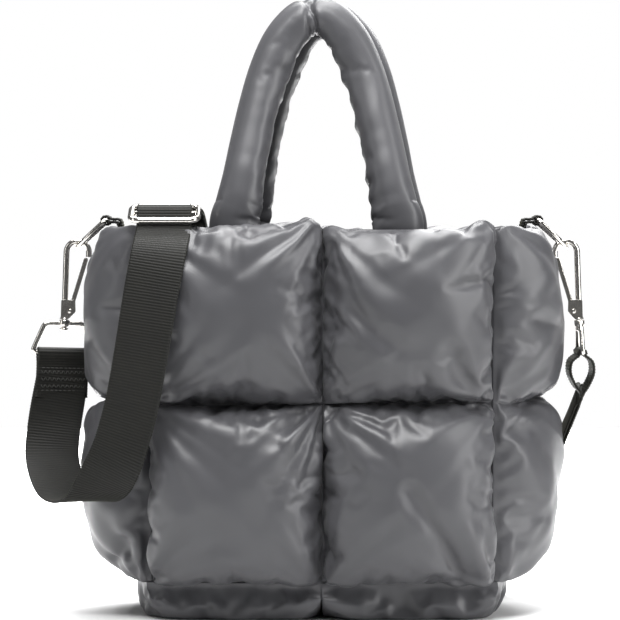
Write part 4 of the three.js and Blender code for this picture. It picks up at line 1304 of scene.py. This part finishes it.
SLIDER_MIDDLE = np.array([-0.925 * HALF_PANEL, -1.08 * HALF_DEPTH, TOP_EDGE + 7])
SLIDER_ALONG = np.array([0, math.cos(SLIDER_TILT), math.sin(SLIDER_TILT)])
SLIDER_UP = np.array([0, -math.sin(SLIDER_TILT), math.cos(SLIDER_TILT)])
SLIDER_HALF = SLIDER_LENGTH / 2
UNDER_BAR = SLIDER_WIRE / 2 + SEAT + WEBBING_THICKNESS / 2 + 1.4
SLIDER_WRAP = SLIDER_BAR / 2 + SEAT + WEBBING_THICKNESS / 2
RING_WRAP = STRAP_RING_WIRE / 2 + SEAT + WEBBING_THICKNESS / 2
OVER_BAR = SLIDER_WRAP + WEBBING_THICKNESS + LAYER_GAP
LAYER_LIFT = (WEBBING_THICKNESS + LAYER_GAP) / 2
RING_BAR = Vector((0, 0, EYE_MIDDLE - STRAP_RING_HEIGHT))


def in_plane(origin, along, out, side, pairs):
    """Rows of point and side for a list of distances along and out from an origin."""
    origin, along, out = (np.asarray(row, float) for row in (origin, along, out))
    return [[*(origin + a * along + b * out), *side] for a, b in pairs]


def arc(radius, start, end):
    """Distances along and out on an arc from one angle in degrees to another."""
    steps = 12
    turns = np.radians(np.linspace(start, end, steps + 1))
    return [(radius * math.sin(t), radius * math.cos(t)) for t in turns]


def route(rows, first, last, steps):
    """Smooth rows of point and side through a route's knots, between its first and last rows."""
    knots = []
    for x, y, z, *side in rows:
        knots.append([x * HALF_PANEL, y * HALF_DEPTH, z * TOP_EDGE, *unit(np.array(side, float))])
    return smooth_rows(first + knots + last, steps)


def layer(rows, lift):
    """Rows moved off the webbing's middle sheet, for the two layers that lie together."""
    points = rows[:, :3]
    along = unit(np.gradient(points, axis=0))
    face = unit(np.cross(along, rows[:, 3:]))
    return np.concatenate([points + face * lift, rows[:, 3:]], 1)


def ring_axes():
    """The left strap ring's bar, its direction, the way down from it and the way out of its plane."""
    turn = (CLASPS["left"] @ RING_TURNS["left"]).to_3x3()
    side = np.array(turn @ Vector((1, 0, 0)))
    down = np.array(turn @ Vector((0, 0, -1)))
    return np.array(CLASPS["left"] @ RING_BAR), side, down, np.cross(side, down)


def front_run():
    """The strap from its sewn end, round the left ring's bar and through its bend to the slider."""
    bar, bar_side, down, outward = ring_axes()
    wrap = in_plane(bar, -down, outward, bar_side, [
        (-FOLD_LENGTH, LAYER_LIFT), (-FOLD_LENGTH / 2, LAYER_LIFT), (-9, LAYER_LIFT),
        (-3, RING_WRAP - 0.3), *arc(RING_WRAP, 0, 180), (-3, -RING_WRAP + 0.3),
        (-9, -LAYER_LIFT), (-FOLD_LENGTH / 2, -LAYER_LIFT)])
    entry = in_plane(SLIDER_MIDDLE, SLIDER_ALONG, SLIDER_UP, (1, 0, 0), [
        (-SLIDER_HALF - 3, -UNDER_BAR - 0.8), (-SLIDER_HALF - 1, -UNDER_BAR),
        (-SLIDER_HALF + 6, -UNDER_BAR / 8), (-3, OVER_BAR), (3, OVER_BAR),
        (SLIDER_HALF - 6, -UNDER_BAR / 8), (SLIDER_HALF - 1, -UNDER_BAR), (SLIDER_HALF, -UNDER_BAR)])
    hanging = route(FRONT_ROUTE, [wrap[-1]], [entry[0]], 12)
    return np.concatenate([smooth_rows(wrap, 4), hanging[1:], smooth_rows(entry, 4)[1:]])


def back_run():
    """The strap from the slider, down behind the bag, round the right ring and back beside itself."""
    start = in_plane(SLIDER_MIDDLE, SLIDER_ALONG, SLIDER_UP, (1, 0, 0), [
        (SLIDER_HALF + 5 * SEAT, -UNDER_BAR - LAYER_LIFT),
        (SLIDER_HALF + 5, -UNDER_BAR - LAYER_LIFT - 0.2)])
    bar = np.array(CLASPS["right"] @ RING_BAR)
    bottom = list(bar + np.array([0, 0, -28])) + [0, 1, 0]
    middle = route(BACK_ROUTE, start, [bottom], 8)
    outer = layer(middle, -LAYER_LIFT)
    inner = layer(middle, LAYER_LIFT)[::-1]
    loop = in_plane(bar, (0, 0, 1), (1, 0, 0), (0, 1, 0), [
        (-22, -5.0), (-14, -8.2), (-6, -7.4), *arc(RING_WRAP, 212, -32),
        (-6, 7.4), (-14, 8.2), (-22, 5.0)])
    if outer[-1][0] > inner[0][0]:
        loop = loop[::-1]
    end = in_plane(SLIDER_MIDDLE, SLIDER_ALONG, SLIDER_UP, (1, 0, 0), [
        (9, -UNDER_BAR - 1.3), (4, -SLIDER_WRAP - 0.1), *arc(SLIDER_WRAP, 180, 390)])
    round_ring = smooth_rows([list(outer[-1])] + loop + [list(inner[0])], 4)
    round_bar = smooth_rows([list(inner[-1])] + end, 4)
    return np.concatenate([outer[:-1], round_ring, inner[1:-1], round_bar])


# Pieces of the fittings
def bag_ring(side, facing):
    """D ring: bent wire with its straight bar in the tab."""
    half = (TAB_WIDTH + BAG_RING_WIRE) / 2 + 2.2
    outline = rounded_outline([
        (-half, 0, 3.5), (half, 0, 3.5),
        (half, -BAG_RING_LENGTH, half), (-half, -BAG_RING_LENGTH, half)], 14)
    shells = Shells()
    turn = Matrix.Translation((facing * BAR_X, 0, BAR_Z))
    turn = turn @ Matrix.Rotation(-facing * (math.pi / 2 - BAG_RING_SLOPE), 4, "Y")
    turn = turn @ Matrix.Rotation(math.pi / 2, 4, "Z")
    shells.add(*swept(flat_path(evenly(outline, 4, True)), BAG_RING_WIRE, True), turn)
    return shells.piece(f"{side}_d_ring", NICKEL)


def hook_body(side):
    """Snap hook: arched wire on two cheeks, with the lever's riveted pin and the stud below."""
    place = CLASPS[side]
    shells = Shells()
    radius = HOOK_ARCH / 2
    turns = np.linspace(0, math.pi, 25)
    bend = [(radius + radius * math.cos(t), HOOK_HEIGHT + radius * math.sin(t)) for t in turns]
    outline = [(HOOK_ARCH, HOOK_HEIGHT - HOOK_NOSE)] + bend + [(0, (BASE_HIGH + BASE_LOW) / 2)]
    shells.add(*swept(flat_path(evenly(outline, 3, False)), HOOK_WIRE, False), place)
    slot = LEVER_THICKNESS + 2 * RUNNING
    cheek = rounded_outline([
        (-HOOK_WIRE / 2 - 0.3, BASE_LOW, 1.5), (HOOK_WIRE / 2 + 0.8, BASE_LOW, 1.5),
        (PIVOT_X + BOSS_RADIUS + 0.8, -0.5, 2), (PIVOT_X + BOSS_RADIUS + 0.3, BASE_HIGH, 1.5),
        (-HOOK_WIRE / 2 - 0.3, BASE_HIGH, 1)], 6)
    half_pin = slot / 2 + CHEEK_THICKNESS
    shells.add(*plate(cheek, -half_pin, -slot / 2), place)
    shells.add(*plate(cheek, slot / 2, half_pin), place)
    across = place @ Matrix.Translation((PIVOT_X, 0, 0)) @ Matrix.Rotation(math.pi / 2, 4, "X")
    r = LEVER_PIN / 2
    head = [(0, half_pin + 0.9), (0.7 * r, half_pin + 0.85), (1.35 * r, half_pin + 0.55),
            (1.6 * r, half_pin), (r, half_pin)]
    pin = head + [(p, -z) for p, z in reversed(head)]
    shells.add(*turned(pin), across)
    low = -STUD_LENGTH
    stud = [(0, BASE_LOW + 1), (STUD_DIAMETER / 2, BASE_LOW + 1), (STUD_DIAMETER / 2, low)]
    turns = np.linspace(1.0, -1.35, 10)
    ball = [(STUD_HEAD / 2 * math.cos(a), low - 1.3 + 1.5 * math.sin(a)) for a in turns]
    shells.add(*turned(stud + ball + [(0, low - 2.8)]), place)
    collar = [(0, BASE_LOW + 1.2), (3.0, BASE_LOW + 1.2), (3.3, BASE_LOW + 0.8),
              (3.3, BASE_LOW + 0.2), (2.9, BASE_LOW), (0, BASE_LOW)]
    shells.add(*turned(collar), place)
    return shells.piece(f"{side}_snap_hook", NICKEL, 0.35)


def hook_lever(side):
    """Sprung lever: a flat bar that closes on the hook's nose, turning on the pin."""
    place = CLASPS[side]
    nose = (HOOK_ARCH, HOOK_HEIGHT - HOOK_NOSE)
    reach = math.hypot(nose[0] - HOOK_WIRE / 2 - PIVOT_X, nose[1]) - SEAT
    angle = math.atan2(nose[0] - LEVER_WIDTH / 2 - PIVOT_X, nose[1])
    turn = place @ Matrix.Translation((PIVOT_X, 0, 0)) @ Matrix.Rotation(angle, 4, "Y")
    half = LEVER_WIDTH / 2
    turns = np.linspace(0.62, 2 * math.pi - 0.62, 26)
    boss = [(BOSS_RADIUS * math.sin(a), BOSS_RADIUS * math.cos(a)) for a in turns]
    tip = [(-half, reach - 1.4), (-half + 0.5, reach - 0.5), (0, reach),
           (half - 0.5, reach - 0.5), (half, reach - 1.4)]
    outline = boss + [(-half, 6)] + tip + [(half, 6)]
    shells = Shells()
    shells.add(*plate(outline, -LEVER_THICKNESS / 2, LEVER_THICKNESS / 2), turn)
    return shells.piece(f"{side}_hook_lever", NICKEL, 0.4)


def strap_ring(side):
    """Trapezoid ring that carries the strap, with the barrel that the stud turns in."""
    place = CLASPS[side] @ RING_TURNS[side]
    low = EYE_MIDDLE - STRAP_RING_HEIGHT
    bottom = WEBBING_WIDTH / 2 + STRAP_RING_WIRE / 2 + 2.2
    outline = rounded_outline([
        (-STRAP_RING_TOP / 2, EYE_MIDDLE, 5), (STRAP_RING_TOP / 2, EYE_MIDDLE, 5),
        (bottom, low, 2.2), (-bottom, low, 2.2)], 10)
    shells = Shells()
    bore = STUD_DIAMETER / 2 + RUNNING
    gap = bore + EYE_WALL - 0.4
    # the wire starts and ends at the barrel, in the middle of the ring's top
    rows = [p for p in evenly(outline, 4, True) if abs(p[0]) >= gap or p[1] <= EYE_MIDDLE - 1]
    left_of_barrel = [i for i, (x, z) in enumerate(rows) if x < 0 and z > EYE_MIDDLE - 0.01]
    start = max(left_of_barrel, key=lambda i: rows[i][0])
    rows = rows[start + 1:] + rows[:start + 1]
    rows = [(gap, EYE_MIDDLE)] + rows + [(-gap, EYE_MIDDLE)]
    shells.add(*swept(flat_path(rows), STRAP_RING_WIRE, False), place)
    outer = bore + EYE_WALL
    half = EYE_HEIGHT / 2
    barrel = [(bore, -half), (outer - 0.5, -half), (outer, -half + 0.5),
              (outer, half - 0.5), (outer - 0.5, half), (bore, half)]
    shells.add(*turned([(r, z + EYE_MIDDLE) for r, z in barrel]), place)
    return shells.piece(f"{side}_strap_ring_wire", NICKEL)


def slider_piece():
    """Three-bar slider of bent wire that sets the strap's length."""
    half = WEBBING_WIDTH / 2 + SLIDER_WIRE / 2 + 2
    outline = rounded_outline([
        (-half, -SLIDER_HALF, 7), (half, -SLIDER_HALF, 7),
        (half, SLIDER_HALF, 7), (-half, SLIDER_HALF, 7)], 12)
    place = Matrix.Translation(SLIDER_MIDDLE) @ Matrix.Rotation(SLIDER_TILT - math.pi / 2, 4, "X")
    shells = Shells()
    shells.add(*swept(flat_path(evenly(outline, 5, True)), SLIDER_WIRE, True), place)
    shells.add(*swept([(x, 0, 0) for x in np.linspace(-half, half, 9)], SLIDER_BAR, False), place)
    return shells.piece("strap_slider_wire", NICKEL)


def ring_tab(side, facing):
    """Short webbing tab, folded round the D ring's bar and sewn down inside the gusset."""
    inside = GUSSET_SEAM + gusset_bow(1) - SEAM_THICKNESS / 2 - 1.2 - WEBBING_THICKNESS / 2
    over = TOP_EDGE + SEAT + WEBBING_THICKNESS / 2
    wrap = TAB_EYE + WEBBING_THICKNESS / 2
    lift = WEBBING_THICKNESS + LAYER_GAP
    rows = [(inside - 7.5, TOP_EDGE - TAB_TUCK), (inside - 1.5, TOP_EDGE - 7),
            (inside, TOP_EDGE - 2), (inside + 1.6, over - 0.2), (BAR_X - wrap, over)]
    turns = np.radians(np.linspace(205, 495, 16))
    rows += [(BAR_X + wrap * math.cos(a), BAR_Z + wrap * math.sin(a)) for a in turns]
    rows += [(BAR_X - wrap - 1.5, over + lift), (inside - 0.5, over + lift - 0.3),
             (inside - lift, TOP_EDGE - 1.5), (inside - lift - 1.5, TOP_EDGE - 7),
             (inside - lift - 7.5, TOP_EDGE - TAB_TUCK)]
    path = smooth_rows([(facing * x, 0, z) for x, z in rows], 4)
    sides = np.tile([0.0, 1.0, 0.0], (len(path), 1))
    return ribbon(f"{side}_tab_webbing", path, sides, TAB_WIDTH)


def placed(piece, body, node):
    """Sets the body that a piece rides on and hides the model's part that it stands for."""
    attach(piece, body)
    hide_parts(node)
    return piece


# Padded pieces. A wall has its pillows across and up, and the distance between its cloth's points.
WALL_SIZE = (PANEL_WIDTH, PANEL_HEIGHT)
GUSSET_SIZE = (2 * HALF_SIDE, PANEL_HEIGHT)
BASE_SIZE = (2 * GUSSET_SEAM, 2 * HALF_SIDE)
walls = [
    Wall("front_panel", (2, 2), WALL_SIZE, FRONT_LOFT, FRONT_FOLDS, front_place(-1), 2.9),
    Wall("back_panel", (2, 2), WALL_SIZE, FRONT_LOFT, BACK_FOLDS, front_place(1), 4.2),
    Wall("left_side_panel", (1, 2), GUSSET_SIZE, SIDE_LOFT, LEFT_SIDE_FOLDS, gusset_place(-1), 3.6),
    Wall("right_side_panel", (1, 2), GUSSET_SIZE, SIDE_LOFT, RIGHT_SIDE_FOLDS, gusset_place(1), 3.6),
    Wall("base_panel", (2, 1), BASE_SIZE, BASE_LOFT, [], base_place, 4.0),
]
handles = [Handle("front_handle", -1), Handle("back_handle", 1)]
for padded in walls + handles:
    padded.sew()
shapes = stuff_covers()
for padded in walls + handles:
    piece = placed(padded.finish(shapes), "bag", padded.name)

# Webbing and fittings
for side, facing in (("left", -1), ("right", 1)):
    placed(ring_tab(side, facing), "bag", f"{side}_ring_tab")
    placed(bag_ring(side, facing), "bag", f"{side}_bag_ring")
    placed(hook_body(side), f"{side}_hook_body", f"{side}_hook")
    placed(hook_lever(side), f"{side}_gate", f"{side}_hook_gate")
    placed(strap_ring(side), "bag", f"{side}_strap_ring")
placed(slider_piece(), "bag", "strap_slider")
for end, rows in (("front", front_run()), ("back", back_run())):
    piece = ribbon(f"{end}_strap_webbing", rows[:, :3], rows[:, 3:], WEBBING_WIDTH)
    placed(piece, "bag", f"strap_{end}_run")

# Stitches, each with its length and its thread's diameter
FOLD_STITCH = (2.7, 0.75)
QUILT_STITCH = (3.4, 0.55)
QUILT_STITCH_PITCH = 4.2
FOLD_HALF_ROW = 16
ZIGZAG_PITCH = 1.6
ZIGZAG_REACH = 1.4
THREAD_RISE = 0.15


def fold_rows():
    """Zigzag rows between two straight ones, on both faces of the strap's sewn fold."""
    bar, side, down, out = ring_axes()
    straight = np.arange(-FOLD_HALF_ROW, FOLD_HALF_ROW + 0.1, 2 * ZIGZAG_PITCH)
    zigzag = np.arange(-FOLD_HALF_ROW, FOLD_HALF_ROW + 0.1, ZIGZAG_PITCH)
    rows = []
    for face in (-1, 1):
        sheet = bar + out * face * (LAYER_LIFT + WEBBING_THICKNESS / 2 + THREAD_RISE)
        for low in (14, 19, 24):
            reach = [ZIGZAG_REACH if k % 2 else -ZIGZAG_REACH for k in range(len(zigzag))]
            rows.append([sheet + side * a + down * (low + b) for a, b in zip(zigzag, reach)])
        for low in (11, 27):
            rows.append([sheet + side * a + down * low for a in straight])
    return rows


def quilt_rows(wall):
    """Stitches of a wall: in its seams inside and outside, and along its top edge inside."""
    width, height = wall.size
    upright = np.arange(6, height - 6, QUILT_STITCH_PITCH) / height
    level = np.arange(6, width - 6, QUILT_STITCH_PITCH) / width
    outside = SEAM_THICKNESS / 2 + 2 * THREAD_RISE
    rows = []
    for lift in (outside, -outside):
        if wall.pillows[0] == 2:
            rows.append(wall.place(0 * upright + 0.5, upright, 0 * upright + lift))
        if wall.pillows[1] == 2:
            rows.append(wall.place(level, 0 * level + 0.5, 0 * level + lift))
    if wall.name != "base_panel":
        rows.append(wall.place(level, 0 * level + 0.985, 0 * level - outside))
    return rows


fold = stitches("strap_fold_stitches", fold_rows(), *FOLD_STITCH)
placed(fold, "bag", "strap_front_run")
for wall in walls:
    quilting = stitches(wall.name + "_stitches", quilt_rows(wall), *QUILT_STITCH)
    placed(quilting, "bag", wall.name)
